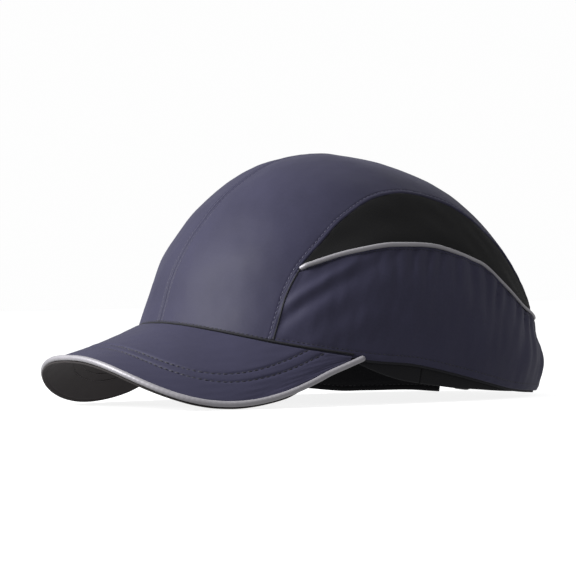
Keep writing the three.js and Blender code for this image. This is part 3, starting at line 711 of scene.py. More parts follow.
NAVY = (0.0275, 0.0265, 0.050)
MATERIALS = {
    "navy_cloth": woven("navy_polyester", NAVY, 0.56, 0.42, contrast=0.30, cloud=0.16,
                        Sheen_Weight=0.04, Sheen_Roughness=0.4, Sheen_Tint=(0.72, 0.72, 1.0, 1),
                        Specular_IOR_Level=0.13),
    "navy_webbing": woven("navy_webbing", (0.026, 0.025, 0.045), 0.7, 1.1, depth=0.16, contrast=0.3,
                          Sheen_Weight=0.08, Specular_IOR_Level=0.25),
    "mesh": mesh_cloth("black_mesh", (0.0062, 0.0062, 0.0066), 0.85),
    "reflective_piping": retroreflective("silver_piping", (0.245, 0.237, 0.258), 0.50),
    "lining": woven("black_tape", (0.013, 0.013, 0.016), 0.75, 0.7, contrast=0.3, depth=0.08,
                    Specular_IOR_Level=0.2),
    "sweatband": woven("black_terry", (0.0085, 0.0085, 0.0100), 0.85, 0.9, contrast=0.35, depth=0.2,
                       Sheen_Weight=0.04, Specular_IOR_Level=0.15),
    "foam": foam_skin("grey_foam", (0.030, 0.030, 0.034), 0.9),
    "label": woven("label_satin", (0.60, 0.59, 0.56), 0.5, 0.3, contrast=0.06, cloud=0.05),
    "visor_board": moulded("board_plastic", (0.05, 0.05, 0.055), 0.6),
    "visor_underside": woven("underside_cloth", (0.034, 0.029, 0.030), 0.8, 0.5, contrast=0.2,
                             Sheen_Weight=0.05, Specular_IOR_Level=0.2),
    "ring_plastic": moulded("ring_nylon", (0.012, 0.012, 0.013), 0.4),
    "loop": pile("loop_tape", (0.014, 0.014, 0.017), 0.95, 0.8, 0.5),
    "hook": pile("hook_tape", (0.016, 0.016, 0.019), 0.7, 0.45, 0.3),
    "liner_plastic": moulded("liner_shell_plastic", (0.020, 0.021, 0.024), 0.42, depth=0.05),
    "navy_thread": thread("navy_thread", (0.030, 0.0285, 0.052)),
    "light_thread": thread("light_thread", (0.060, 0.058, 0.095)),
    # painted shade: this thread is coloured far darker than the cloth, so that its stitch rows show the shade
    # of their grooves
    "painted_shade_thread": thread("painted_shade_thread", (0.0075, 0.007, 0.013)),
    "under_thread": thread("under_thread", (0.034, 0.029, 0.030)),
    "dark_thread": thread("dark_thread", (0.012, 0.012, 0.016)),
}


def settle(obj, node, body="root"):
    """The piece rides on its body and stands for its CAD node, which is hidden."""
    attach(obj, body)
    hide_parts(node)
    return obj


# ------------------------------------------------------------------ outer cloth
def grid(us, vs):
    return np.meshgrid(us, vs, indexing="ij")


SEAM_HALF_GAP = 0.012
# Distances of the stitch rows from their edges, and the half width of the groove they pull.
TOPSTITCH = 2.3
FOOT_STITCH = 2.6
STITCH_DENT = 0.42


def rear_ease(roll):
    """The cloth lies a little flatter behind the top of the crown."""
    return 1.5 * bump_at(roll, 122, 17)


def crown_panel():
    across, along = grid(stations(66, 2.2), stations(245, 2.2))
    front_width = float(through(BAND_HALF_WIDTH, SEAM_FOOT_ROLL))
    rear_width = float(through(BAND_HALF_WIDTH, SEAM_REAR_ROLL))
    seam_roll = mix(SEAM_FOOT_ROLL, SEAM_REAR_ROLL, along)
    x = mix(SEAM_HALF_GAP, through(BAND_HALF_WIDTH, seam_roll) - SEAM_HALF_GAP, across)
    roll = mix(front_roll(across * front_width), rear_roll(across * rear_width), along)
    p = Panel(band(roll, x))
    p.relief -= turned_edge(p.u0, 0.55, 1.1) + turned_edge(p.u1, 0.5, 0.8)
    p.relief -= turned_edge(p.v0, 1.7, 2.2) + turned_edge(p.v1, 0.6, 1.0)
    for gap, ridge in ((p.u0, 0.06), (p.u1, 0.14), (p.v1, 0.14)):
        p.relief -= 0.30 * bump_at(gap, TOPSTITCH, STITCH_DENT)
        p.relief += ridge * bump_at(gap, TOPSTITCH - 1.1, 0.8)
    # seam pucker and the soft unevenness of cloth over its seam tapes
    pucker = np.sin(2 * math.pi * p.v0 / 7.3 + 1.5 * wander(p.v0 / 40, 0 * p.v0, 2.0))
    p.relief += 0.10 * pucker * (np.exp(-p.u1 / 5) + 0.7 * np.exp(-p.u0 / 5))
    p.relief += 0.35 * wander(p.u0 / 46, p.v0 / 60, 0.7)
    p.relief += 0.30 * bump_at(p.u0, 6, 6) * wander(p.v0 / 30, p.u0 / 60, 4.1)
    p.relief += 0.10 * wander(p.u0 / 13 + p.v0 / 40, p.v0 / 17, 7.7)
    # slight hollows where the front panel meets the visor and above its corners
    p.relief -= 0.5 * np.exp(-p.v0 / 9) + 1.9 * smooth_step((p.u0 - 16) / 30) * bump_at(p.v0, 25, 15)
    p.relief -= rear_ease(roll)
    return p


def mesh_panel():
    back, up = grid(stations(190, 2.2), stations(38, 1.8))
    roll = mix(SEAM_FRONT_ROLL - 0.4, SEAM_REAR_ROLL - 0.6, back)
    upper = band(roll, through(BAND_HALF_WIDTH, roll) - SEAM_LAP)
    angle = mix(PIPING_FRONT_ANGLE - LAP_ANGLE, REAR_EDGE_ANGLE - 1.4, back)
    lower = wall(angle, through(SIDE_PIPING, angle) - 0.9)
    p = Panel(cast(HUB, mix(lower, upper, up[..., None]), 0.3))
    p.relief -= tuck(p.v1, 0.95, 2.4) + tuck(p.u0, 0.95, 1.8) + tuck(p.v0, 0.95, 2.6)
    width = p.v0 + p.v1
    share = p.v0 / np.maximum(width, 1e-6)
    p.relief -= 0.8 * np.clip(width / 40, 0, 1) * np.sin(math.pi * share) ** 2
    p.relief += 0.35 * wander(p.u0 / 38, p.v0 / 34, 3.3)
    p.relief += 0.15 * np.sin(2 * math.pi * p.u0 / 8.2) * np.exp(-p.v0 / 4)
    p.relief -= rear_ease(roll) * np.clip(share, 0, 1)
    return p


HEM_STITCH = 3.5


def side_panel():
    around, up = grid(stations(190, 1.8), stations(60, 1.6))
    foot, top = float(through(RIM, seam_angle(-22))), float(through(SIDE_PIPING, PIPING_FRONT_ANGLE))
    angle = mix(seam_angle(mix(foot, top, up)) - LAP_ANGLE, REAR_EDGE_ANGLE - 0.4, around)
    # the hem turns up at the rear corner
    corner = np.clip(1 - (REAR_EDGE_ANGLE - angle) / 10, 0, 1)
    hem = through(RIM, angle) + 7 * (1 - np.sqrt(1 - corner**2))
    z = mix(hem, through(SIDE_PIPING, angle) - 0.3, up)
    p = Panel(wall(angle, z))
    back, below = p.u0, p.v1
    p.relief -= 0.6 * tuck(p.u0, 1, 18) + turned_edge(p.u1, 0.6, 1.2)
    under_visor = np.clip((VISOR_ROOT_ANGLE + 3 - angle) / 5, 0, 1)
    p.relief -= turned_edge(p.v0, 0.7, 1.4) + under_visor * turned_edge(p.v0, 1.2, 3.0)
    p.relief -= turned_edge(p.v1, 0.6, 1.0)
    p.relief -= 0.3 * bump_at(p.v1, TOPSTITCH, STITCH_DENT) + 0.22 * bump_at(p.v0, HEM_STITCH, 0.5)
    # gathers that hang from the piping, strongest above the ear and towards the back
    strength = 0.12 + 0.75 * smooth_step((back - 15) / 90) * (1 + 0.7 * wander(back / 34, 0 * back, 9.2))
    phase = 2 * math.pi * back / 9.8 + 2.6 * wander(back / 60, below / 90, 1.3)
    folds = np.sin(phase) + 0.35 * np.sin(2 * phase + 0.9)
    p.relief += strength * folds * np.exp(-np.maximum(below - 3, 0) / 15) * (1 - np.exp(-below / 2.5))
    # long soft folds that run back and down from the front seam
    for start, slope, reach, height, width in ((23, -0.42, 40, 1.35, 4.4), (38, -0.30, 60, 0.55, 6.0),
                                               (42, 0.02, 80, 0.35, 6.0)):
        line = start + slope * back
        fade = np.exp(-(back / reach) ** 2) * (1 - np.exp(-back / 5))
        hollow = bump_at(below, line + 1.9 * width, width)
        p.relief += height * fade * (bump_at(below, line, width) - 0.7 * hollow)
    # the cloth bellies out low at the back and is drawn in above that
    rear = np.clip((angle - 128) / 22, 0, 1) ** 1.5
    p.relief += rear * (1.5 * bump_at(z, 5, 9) - 0.9 * bump_at(z, 21, 6))
    p.relief += rear * 0.5 * np.sin(2 * math.pi * back / 13) * bump_at(z, 8, 14)
    p.relief += 0.45 * wander(back / 42, p.v0 / 40, 5.2)
    p.relief += 0.18 * wander(back / 11, p.v0 / 30, 8.4)
    return p


CROWN = crown_panel()
MESH = mesh_panel()
SIDE = side_panel()
for side_name, flip in SIDES:
    seam_tape_name = f"seam_tape_{side_name}"
    for kind, panel, thickness, slot, rests_on in (
            ("crown", CROWN, FABRIC, "navy_cloth", ["centre_seam_tape", seam_tape_name]),
            ("mesh", MESH, MESH_THICKNESS, "mesh", [seam_tape_name, f"side_panel_{side_name}"]),
            ("side", SIDE, FABRIC, "navy_cloth", [f"hem_binding_{side_name}"])):
        obj = cloth(f"{kind}_cloth_{side_name}", panel, thickness, slot, flip)
        settle(obj, f"{kind}_panel_{side_name}")

crown_rows = [CROWN.line(edge, TOPSTITCH, 0.04) for edge in ("u1", "v1")]
stitches("crown_topstitch", both_sides(crown_rows), "light_thread", pitch=2.7, length=1.8, radius=0.27)
stitches("centre_topstitch", both_sides([CROWN.line("u0", TOPSTITCH, 0.02)]), "navy_thread")
# the foot and side rows use the darkened thread, whose colour is painted groove shade
stitches("foot_topstitch", both_sides([CROWN.line("v0", FOOT_STITCH, 0.02)]), "painted_shade_thread")
side_rows = [SIDE.line("v1", TOPSTITCH, 0.02), SIDE.line("v0", HEM_STITCH, 0.0)]
stitches("side_topstitch", both_sides(side_rows), "painted_shade_thread")

SEAM_CREASE = math.radians(LAP_ANGLE) * SIDE_RADIUS + 0.3


# radii of the dark cords laid in the crease of the front seam and at the visor's root, as painted shade
SEAM_SHADE_CORD_RADIUS = 0.42
ROOT_SHADE_CORD_RADIUS = 0.6


def front_seam_shade_line():
    """A dark cord in the crease between the crown and the side panel: painted shade of the crease."""
    line, _ = SIDE.line("u0", SEAM_CREASE, 0.02)
    return with_tips(resample(line[1:-1], 1.0))


# ------------------------------------------------------------------ piping
def side_piping_line():
    angle = np.linspace(PIPING_FRONT_ANGLE - 0.5, REAR_EDGE_ANGLE - 1.2, 160)
    walked = np.radians(angle - angle[0]) * SIDE_RADIUS
    left = np.radians(angle[-1] - angle) * REAR_RADIUS
    depth = tuck(walked, 1.9, 3.2) + tuck(left, 1.2, 3) - 0.35
    return with_tips(resample(wall(angle, through(SIDE_PIPING, angle), depth), 1.2))


PIPING_LINE = side_piping_line()
for side_name, flip in SIDES:
    line = mirror(PIPING_LINE) if flip else PIPING_LINE
    cord = sweep(f"side_piping_cord_{side_name}", line, crown_normal(line), SIDE_PIPING_RADIUS,
                 "reflective_piping", seed=1.0 + flip, taper=0.62)
    settle(cord, f"side_piping_{side_name}")


# ------------------------------------------------------------------ visor
def visor_edge(turn):
    power = 2 / VISOR_PLAN_POWER
    sine, cosine = np.sin(np.radians(turn)), np.cos(np.radians(turn))
    x = VISOR_HALF_WIDTH * np.sign(sine) * np.abs(sine) ** power
    forward = VISOR_CORNER_Y + VISOR_FORWARD * np.abs(cosine) ** power
    z = (VISOR_MID_Z - math.tan(VISOR_PITCH) * (forward - 100)
         - VISOR_DROOP * np.abs(x / 90) ** VISOR_DROOP_POWER)
    return from_table(points(x, -forward, z))


def visor_point(side, out):
    side, out = np.broadcast_arrays(np.asarray(side, float), np.asarray(out, float))
    angle = side * VISOR_ROOT_ANGLE
    root = wall(angle, through(RIM, np.abs(angle)), -0.7)
    place = mix(root, visor_edge(side * VISOR_EDGE_ANGLE), out[..., None])
    place[..., 2] -= VISOR_SAG * 4 * out * (1 - out)
    return place


def visor_normal(side, out):
    step = 0.008
    across = visor_point(side + step, out) - visor_point(side - step, out)
    along = visor_point(side, out + step) - visor_point(side, out - step)
    return unit(np.cross(along, across))


VISOR_EDGE_LINE = visor_point(np.linspace(-1, 1, 500), 1)


def edge_distance(p):
    flat = p.reshape(-1, 3)
    gaps = [np.linalg.norm(flat[k:k + 400, None] - VISOR_EDGE_LINE[None], axis=-1).min(1)
            for k in range(0, len(flat), 400)]
    return np.concatenate(gaps).reshape(p.shape[:-1])


def outer_share(side, clearance):
    """The share of the way out that stays clear of the edge line, or passes it if below zero."""
    clearance = np.broadcast_to(np.asarray(clearance, float), side.shape)
    low, high = np.zeros(side.shape), np.ones(side.shape)
    for _ in range(14):
        middle = (low + high) / 2
        clear = edge_distance(visor_point(side, middle)) > clearance
        low = np.where(clear, middle, low)
        high = np.where(clear, high, middle)
    spoke = visor_point(side, 1) - visor_point(side, 0)
    edge = unit(visor_point(side + 0.01, 1) - visor_point(side - 0.01, 1))
    past = 1 - clearance / np.linalg.norm(np.cross(spoke, edge), axis=-1)
    return np.where(clearance > 0, low, past)


def visor_panel(clearance, half_span):
    even = np.linspace(-1, 1, 301)
    side = half_span * mix(even, np.sin(even * math.pi / 2), 0.6)
    limit = outer_share(side, clearance(np.abs(side)))
    sides, share = grid(side, np.linspace(0, 1, 150))
    out = share * limit[:, None]
    panel = Panel(visor_point(sides, out), visor_normal(sides, out))
    panel.to_edge = edge_distance(panel.base)
    panel.side = sides
    return panel


def stitch_distance(side, extra):
    """The visor's stitch rows lie nearer the edge towards its corners."""
    return 18.0 - 9.0 * np.abs(side) ** 1.5 + extra


def visor_row(panel, extra):
    """Points of the panel where its distance to the edge is that of a stitch row."""
    side = panel.side[:, 0]
    kept = np.abs(side) <= VISOR_ROW_SPAN
    return rows_at(stitch_distance(side, extra)[kept], panel.to_edge[kept],
                   (panel.outer + panel.normals * 0.02)[kept], panel.normals[kept])


VISOR_ROW_SPAN = 0.93
VISOR_ROW_GAP = 4.7
VISOR_STITCH = 3.1


def visor_cover(lift, clearance, half_span, groove):
    p = visor_panel(clearance, half_span)
    p.relief += lift
    away = p.to_edge
    p.relief -= turned_edge(p.v1, 0.6, 1.2) + turned_edge(p.v0, 1.0, 1.3)
    middle = 1 - 0.35 * np.clip(np.abs(p.side) / 0.9, 0, 1)
    for extra in (0, VISOR_ROW_GAP):
        row = stitch_distance(p.side, extra)
        dimples = 0.5 + 0.5 * np.sin(2 * math.pi * (p.u0 + 0.7 * away) / VISOR_STITCH)
        dimples *= np.clip(1.5 - 1.9 * np.abs(p.side), 0, 1)
        dents = 0.50 * bump_at(away, row, 0.6) + 0.46 * dimples * bump_at(away, row, 1.0)
        p.relief -= groove * middle * dents
        p.relief += groove * 0.10 * bump_at(away, row + 1.9, 1.2)
    p.relief += 0.12 * wander(p.u0 / 26, p.v0 / 18, 6.1)
    return p


TOP = visor_cover(VISOR_HALF_THICKNESS,
                  lambda side: mix(1.5, 0.9, smooth_step((side - 0.9) / 0.07)), 0.987, 1)


def visor_sheet(name, outer, inner, material, flip=False):
    """The grid runs left to right and out to the edge, so the upper face is its reverse."""
    nu, nv = outer.shape[:2]
    walked_u, _ = run_along(outer, 0)
    walked_v, _ = run_along(outer, 1)
    uv = np.stack([walked_u, walked_v], -1).reshape(-1, 2) * MM
    vertices = np.concatenate([outer.reshape(-1, 3), inner.reshape(-1, 3)])
    faces = slab_faces(nu, nv) if flip else [f[::-1] for f in slab_faces(nu, nv)]
    return mesh_object(name, to_row(vertices), faces, material, np.concatenate([uv, uv]))


COVER = 0.6
top_inner = TOP.base + TOP.normals * (TOP.relief - COVER)[..., None]
top_cover = visor_sheet("visor_top_cloth", TOP.outer, top_inner, "navy_cloth")
settle(top_cover, "visor_top_cover")

BOTTOM = visor_cover(0.0, lambda side: mix(-1.1, 1.5, smooth_step((side - 0.86) / 0.07)), 0.95, 0.15)
BOTTOM.relief -= 0.3 * bump_at(BOTTOM.v1, 2.4, 0.5)
bottom_relief = VISOR_HALF_THICKNESS + BOTTOM.relief
bottom_face = BOTTOM.base - BOTTOM.normals * bottom_relief[..., None]
bottom_inner = BOTTOM.base - BOTTOM.normals * (bottom_relief - COVER)[..., None]
bottom_cover = visor_sheet("visor_bottom_cloth", bottom_face, bottom_inner, "visor_underside", True)
settle(bottom_cover, "visor_bottom_cover")
board_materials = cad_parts["visor_board"].data.materials
board_materials.clear()
board_materials.append(MATERIALS["visor_board"])

top_rows = [visor_row(TOP, extra) for extra in (0, VISOR_ROW_GAP)]
# the visor's rows use the darkened thread, whose colour is painted groove shade
stitches("visor_topstitch", top_rows, "painted_shade_thread", pitch=VISOR_STITCH, length=2.3, radius=0.36)
bottom_rows = []
for extra in (0, VISOR_ROW_GAP):
    line, facing = visor_row(BOTTOM, extra)
    bottom_rows.append((line - facing * (VISOR_HALF_THICKNESS + 0.02), -facing))
stitches("visor_understitch", bottom_rows, "under_thread")


def visor_piping_line():
    """The cord lies on the visor's edge and runs on a little way under the rim."""
    side = np.linspace(-VISOR_PIPING_SPAN, VISOR_PIPING_SPAN, 400)
    facing = visor_normal(side, np.ones(len(side)))
    line = visor_point(side, outer_share(side, VISOR_PIPING_INSET)) + facing * VISOR_PIPING_RAISE
    low = float(through(RIM, PIPING_TAIL_ANGLE)) + PIPING_TAIL_RISE
    tails = wall(np.array([-PIPING_TAIL_ANGLE, PIPING_TAIL_ANGLE]), low, -VISOR_PIPING_RAISE - 0.4)
    line = resample(np.concatenate([tails[:1], line, tails[1:]]), 1.5)
    facing = np.concatenate([crown_normal(tails[:1]), facing, crown_normal(tails[1:])])
    facing = sample(np.linspace(0, 1, len(line)), np.linspace(0, 1, len(facing)), facing)
    for _ in range(5):
        line[1:-1] = (line[:-2] + 2 * line[1:-1] + line[2:]) / 4
    steady = with_tips(line)
    extra = (len(steady) - len(line)) // 2
    return steady, np.concatenate([facing[:1]] * extra + [facing] + [facing[-1:]] * extra)


def visor_root_shade_line():
    """A dark cord in the crease between the visor and the crown: painted shade of the crease."""
    angle = np.linspace(-VISOR_ROOT_ANGLE, VISOR_ROOT_ANGLE, 180)
    return with_tips(wall(angle, through(RIM, np.abs(angle)) + 1.6, 0.05))


# dark cords in the creases of the front seams: painted shade
SEAM_SHADE_LINE = front_seam_shade_line()
for side_name, flip in SIDES:
    line = mirror(SEAM_SHADE_LINE) if flip else SEAM_SHADE_LINE
    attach(sweep(f"front_seam_painted_shade_{side_name}", line, crown_normal(line), SEAM_SHADE_CORD_RADIUS,
                  "lining", sides=8, seed=3.0), "root")

# a dark cord in the crease at the visor's root: painted shade
root_shade_line = visor_root_shade_line()
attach(sweep("visor_root_painted_shade", root_shade_line, crown_normal(root_shade_line), ROOT_SHADE_CORD_RADIUS,
              "lining", sides=8, seed=2.0), "root")

edge_line, edge_facing = visor_piping_line()
settle(sweep("visor_piping_cord", edge_line, unit(edge_facing), VISOR_PIPING_RADIUS, "reflective_piping",
             sides=16, seed=4.0), "visor_piping")


# ------------------------------------------------------------------ tapes and bindings
def strip(base):
    """A flat tape with softened edges on a crown grid."""
    panel = Panel(base)
    for gap in (panel.u0, panel.u1, panel.v0, panel.v1):
        panel.relief -= turned_edge(gap, 0.25, 0.5)
    return panel


TAPE_DEPTH = 1.7
TAPE = 0.7
CENTRE_TAPE_HALF = 6
SEAM_TAPE_HALF = 5
HEM_TAPE = 0.8
HEM_TAPE_HEIGHT = 9
HEM_TAPE_DEPTH = 1.25
TAPE_START_ROLL = 29


def tape_panels():
    across, along = grid(np.linspace(0, 1, 9), np.linspace(0, 1, 90))
    roll = mix(TAPE_START_ROLL, float(rear_roll(0)) - 2, along)
    centre = band(roll, mix(-CENTRE_TAPE_HALF, CENTRE_TAPE_HALF, across), TAPE_DEPTH + rear_ease(roll))
    roll = mix(TAPE_START_ROLL, SEAM_REAR_ROLL - 3, along)
    x = through(BAND_HALF_WIDTH, roll) + mix(-SEAM_TAPE_HALF, SEAM_TAPE_HALF, across)
    return strip(centre), strip(band(roll, x, TAPE_DEPTH + rear_ease(roll)))


def hem_panel():
    around, up = grid(stations(110, 2.0), np.linspace(0, 1, 10))
    angle = mix(VISOR_ROOT_ANGLE + 0.5, 148, around)
    return strip(wall(angle, through(RIM, angle) + mix(-1.1, HEM_TAPE_HEIGHT, up), HEM_TAPE_DEPTH))


OPENING_TAPE_WIDTH = 7
ROLL_DEGREE = 1.9  # mm along the crown's back in one degree of roll


def opening_panel():
    across, up = grid(np.linspace(0, 1, 60), np.linspace(0, 1, 9))
    x = mix(1, -1, across) * (OPENING_HALF_WIDTH - 9)
    roll = rear_roll(x) + 0.4 - mix(0, OPENING_TAPE_WIDTH / ROLL_DEGREE, up)
    return strip(band(roll, x, TAPE_DEPTH + TAPE + 0.3))


centre_tape, seam_tape = tape_panels()
settle(cloth("centre_tape", centre_tape, TAPE, "lining"), "centre_seam_tape")
for name, node, panel, thickness in (("side_tape", "seam_tape", seam_tape, TAPE),
                                     ("hem_tape", "hem_binding", hem_panel(), HEM_TAPE)):
    for side_name, flip in SIDES:
        tape = cloth(f"{name}_{side_name}", panel, thickness, "lining", flip)
        settle(tape, f"{node}_{side_name}")
opening = cloth("opening_binding", opening_panel(), TAPE, "navy_cloth")
settle(opening, "rear_opening_binding")


# ------------------------------------------------------------------ sweatband and brow pad
SWEATBAND_TOP = 13
SWEATBAND_DEPTH = 2.4
SWEATBAND = 1.6
# Where the sweatband's pieces meet, degrees round the head, and the length of one such degree, mm.
BAND_JOINT = 93
BAND_DEGREE = 1.7


def sweatband(start, end):
    around, up = grid(stations(abs(end - start) * BAND_DEGREE, 2.0), stations(34, 1.6))
    angle = mix(start, end, around)
    drop = np.where(angle > 0, through(SWEATBAND_DROP_LEFT, angle), through(SWEATBAND_DROP_RIGHT, -angle))
    bottom = through(RIM, np.abs(angle)) - drop
    depth = SWEATBAND_DEPTH + 0.9 * smooth_step((np.abs(angle) - 142) / 6)
    p = Panel(wall(angle, mix(bottom, SWEATBAND_TOP, up), depth))
    p.relief -= turned_edge(p.v0, 0.5, 0.9) + turned_edge(p.v1, 0.4, 0.8)
    p.relief -= turned_edge(p.u0, 0.3, 0.7) + turned_edge(p.u1, 0.3, 0.7)
    return p


BAND_STITCH = 3.1


def band_inner(p):
    """The inner face: padded between a stitched line near each long edge."""
    face = -SWEATBAND + 0 * p.v0
    for gap in (p.v0, p.v1):
        face += turned_edge(gap, 0.6, 1.0) + 0.45 * bump_at(gap, BAND_STITCH, 0.8)
        face += 0.12 * np.sin(2 * math.pi * p.u0 / 5.5) * bump_at(gap, 5, 3)
    return p.base + p.normals * face[..., None]


BANDS = [sweatband(-BAND_JOINT, BAND_JOINT), sweatband(BAND_JOINT + 0.3, 148),
         sweatband(-157, -BAND_JOINT - 0.3)]
for panel, place, side_name in zip(BANDS, ("front", "rear", "rear"), ("", "_left", "_right")):
    obj = make_slab(f"sweatband_{place}_cloth{side_name}", panel.outer, band_inner(panel), panel.uv,
                    "sweatband")
    settle(obj, f"sweatband_{place}{side_name}")


def inside_row(panel, edge):
    line, facing = panel.line(edge, BAND_STITCH)
    return line - facing * (SWEATBAND - 0.38), -facing


stitches("sweatband_stitch", [inside_row(panel, edge) for panel in BANDS for edge in ("v0", "v1")],
         "dark_thread")


def pad(name, node, angles, heights, length, depth, thickness, body="root", radius=2.4,
        flip=False):
    """A foam pad on the crown's inside: rounded edges, its free face crowned a little."""
    around, up = grid(stations(length, 2.4), stations(heights[1] - heights[0], 2.0))
    p = Panel(wall(mix(*angles, around), mix(*heights, up), depth))
    near = np.minimum(np.minimum(p.u0, p.u1), np.minimum(p.v0, p.v1))
    pull = turned_edge(near, 0.48 * thickness, radius)
    p.relief -= pull
    swell = 0.25 * (1 - np.exp(-near / 6))
    inner = p.base + p.normals * (-thickness + pull * 1.05 - swell + 0.25)[..., None]
    obj = make_slab(name, p.outer, inner, p.uv, "foam", flip)
    settle(obj, node, body)


BROW_PAD_DEPTH = 4.7
BROW_PAD = 2.2
pad("brow_pad_foam", "brow_pad", (-42, 42), (-16, 9), 140, BROW_PAD_DEPTH, BROW_PAD, radius=1.6)

LABEL_DEPTH = 4.75
LABEL = 0.3


def care_label():
    around, up = grid(np.linspace(0, 1, 24), np.linspace(0, 1, 20))
    curl = 0.5 * np.sin(math.pi * around) * np.clip(1 - up, 0, 1)
    panel = Panel(wall(mix(124, 134, around), mix(-8, 8, up), LABEL_DEPTH + 0.25 * curl))
    panel.relief += 0.08 * wander(around * 1.3, up * 1.1, 1.0)
    obj = cloth("care_label_cloth", panel, LABEL, "label", inner_relief=1.0)
    settle(obj, "care_label")


care_label()

# ------------------------------------------------------------------ rear size strap
RING_WIDTH = 14
RING_HEIGHT = 27
RING_THICKNESS = 2.4
RING_BAR = 3
RING_CORNER = 2.4
RING_ANGLE = 162.5
STRAP_MID_Z = STRAP_BOTTOM + STRAP_WIDTH / 2
BAR_OFFSET = (RING_WIDTH - RING_BAR) / 2
RING_SEAT = wall(RING_ANGLE, STRAP_MID_Z)
RING_OUT = crown_normal(RING_SEAT)
RING_ALONG = unit(np.array([RING_OUT[1], -RING_OUT[0], 0.0]))
RING_UP = np.cross(RING_ALONG, RING_OUT)


def at_ring(p):
    """Local place at the ring (x along the strap towards its panel, y outward, z up) to head frame."""
    return RING_SEAT + p[..., :1] * RING_ALONG + p[..., 1:2] * RING_OUT + p[..., 2:] * RING_UP


def ring_piece():
    """A moulded rectangular ring: rounded bars all the way round."""
    path = []
    half_x, half_z = BAR_OFFSET - RING_CORNER, (RING_HEIGHT - RING_BAR) / 2 - RING_CORNER
    for cx, cz, start in ((1, 1, 0), (-1, 1, 90), (-1, -1, 180), (1, -1, 270)):
        for k in range(7):
            turn = math.radians(start + 15 * k)
            path.append((cx * half_x + RING_CORNER * math.cos(turn),
                         cz * half_z + RING_CORNER * math.sin(turn)))
    path = np.array(path)
    ahead = unit(np.roll(path, -1, 0) - np.roll(path, 1, 0))
    across = np.stack([ahead[:, 1], -ahead[:, 0]], -1)
    vertices, faces = [], []
    sides = 16
    power = 0.55  # makes the bar's section a rounded square
    for centre, out in zip(path, across):
        for k in range(sides):
            turn = 2 * math.pi * (k + 0.5) / sides
            c = math.copysign(abs(math.cos(turn)) ** power, math.cos(turn)) * RING_BAR / 2
            s = math.copysign(abs(math.sin(turn)) ** power, math.sin(turn)) * RING_THICKNESS / 2
            vertices.append((centre[0] + out[0] * c, s, centre[1] + out[1] * c))
    count = len(path)
    for i in range(count):
        for k in range(sides):
            a, b = i * sides + k, i * sides + (k + 1) % sides
            c, d = (i + 1) % count * sides + k, (i + 1) % count * sides + (k + 1) % sides
            faces.append((b, d, c, a))
    ring = mesh_object("strap_ring_moulded", to_row(mirror(at_ring(np.array(vertices)))), faces,
                       "ring_plastic", smooth_angle=60)
    settle(ring, "strap_ring")


ring_piece()


def ring_path(rows):
    """Local (x, y) places at the ring to head frame points."""
    flat = np.array(rows, float)
    return at_ring(np.stack([flat[:, 0], flat[:, 1], 0 * flat[:, 0]], -1))


def arc(cx, cy, radius, start, end, count):
    turns = np.radians(np.linspace(start, end, count))
    return [(cx + radius * math.cos(t), cy + radius * math.sin(t)) for t in turns]


def webbing(name, line, node, body="root"):
    """Webbing along a line. Its ring is drawn on the wearer's left, and mirrored to the right."""
    facing = unit(np.cross(unit(np.gradient(line, axis=0)), RING_UP))[:, None]
    share = np.array([0, 0.012, 0.03, 0.06, *np.linspace(0.1, 0.9, 18), 0.94, 0.97, 0.988, 1])
    offset = (share - 0.5) * STRAP_WIDTH
    near = np.minimum(share, 1 - share) * STRAP_WIDTH
    thin = STRAP_THICKNESS * (1 - 0.5 * np.clip(1 - near / 0.5, 0, 1) ** 2)
    middle = line[:, None] + RING_UP * offset[None, :, None]
    half = facing * (thin / 2)[None, :, None]
    walked = walked_along(line)
    uv = np.stack(np.broadcast_arrays(walked[:, None], offset[None]), -1).reshape(-1, 2) * MM
    obj = make_slab(name, middle + half, middle - half, uv, "navy_webbing", True)
    settle(obj, node, body)


FOLD_RADIUS = 2.7


def tab_line():
    """The ring's tab: webbing folded round the left bar, its two ends sewn inside the panel."""
    path = [(17, -4.9), (13.5, -4.0), (9.5, -3.1)] + arc(BAR_OFFSET, 0, FOLD_RADIUS, -90, -270, 22)
    path += [(BAR_OFFSET + 1.6, 2.2), (BAR_OFFSET + 2.9, 0.6), (BAR_OFFSET + 3.6, -1.5)]
    return resample(ring_path(path + [(13.5, -2.9), (17, -3.8)]), 0.6)


def strap_line():
    """From the sewn end inside the crown to the ring, and folded round its bar."""
    angle = np.linspace(207.5, RING_ANGLE + 6.6, 60)
    line = wall(angle, STRAP_MID_Z, STRAP_DEPTH + STRAP_THICKNESS / 2)
    turn = [(-BAR_OFFSET - 4, -2.8), (-BAR_OFFSET - 2, -2.75)]
    turn += arc(-BAR_OFFSET, 0, FOLD_RADIUS, -90, 90, 22)
    turn += [(-BAR_OFFSET - 0.7, 2.62), (-BAR_OFFSET - 1.4, 2.45)]
    return resample(np.concatenate([line, ring_path(turn)]), 0.7)


TAIL_START_ANGLE = RING_ANGLE + 4.2
TAIL_END_ANGLE = 191


def tail_line():
    angle = np.linspace(TAIL_START_ANGLE, TAIL_END_ANGLE, 60)
    share = (angle - TAIL_START_ANGLE) / (TAIL_END_ANGLE - TAIL_START_ANGLE) / 0.35
    return resample(wall(angle, STRAP_MID_Z, mix(-2.9, -0.7, smooth_step(share))), 0.8)


webbing("ring_tab_webbing", tab_line(), "ring_tab")
webbing("rear_strap_webbing", strap_line(), "rear_strap")
webbing("strap_tail_webbing", tail_line(), "strap_tail", "strap_tail")


PATCH = 0.5
PATCH_INSET = 1.5


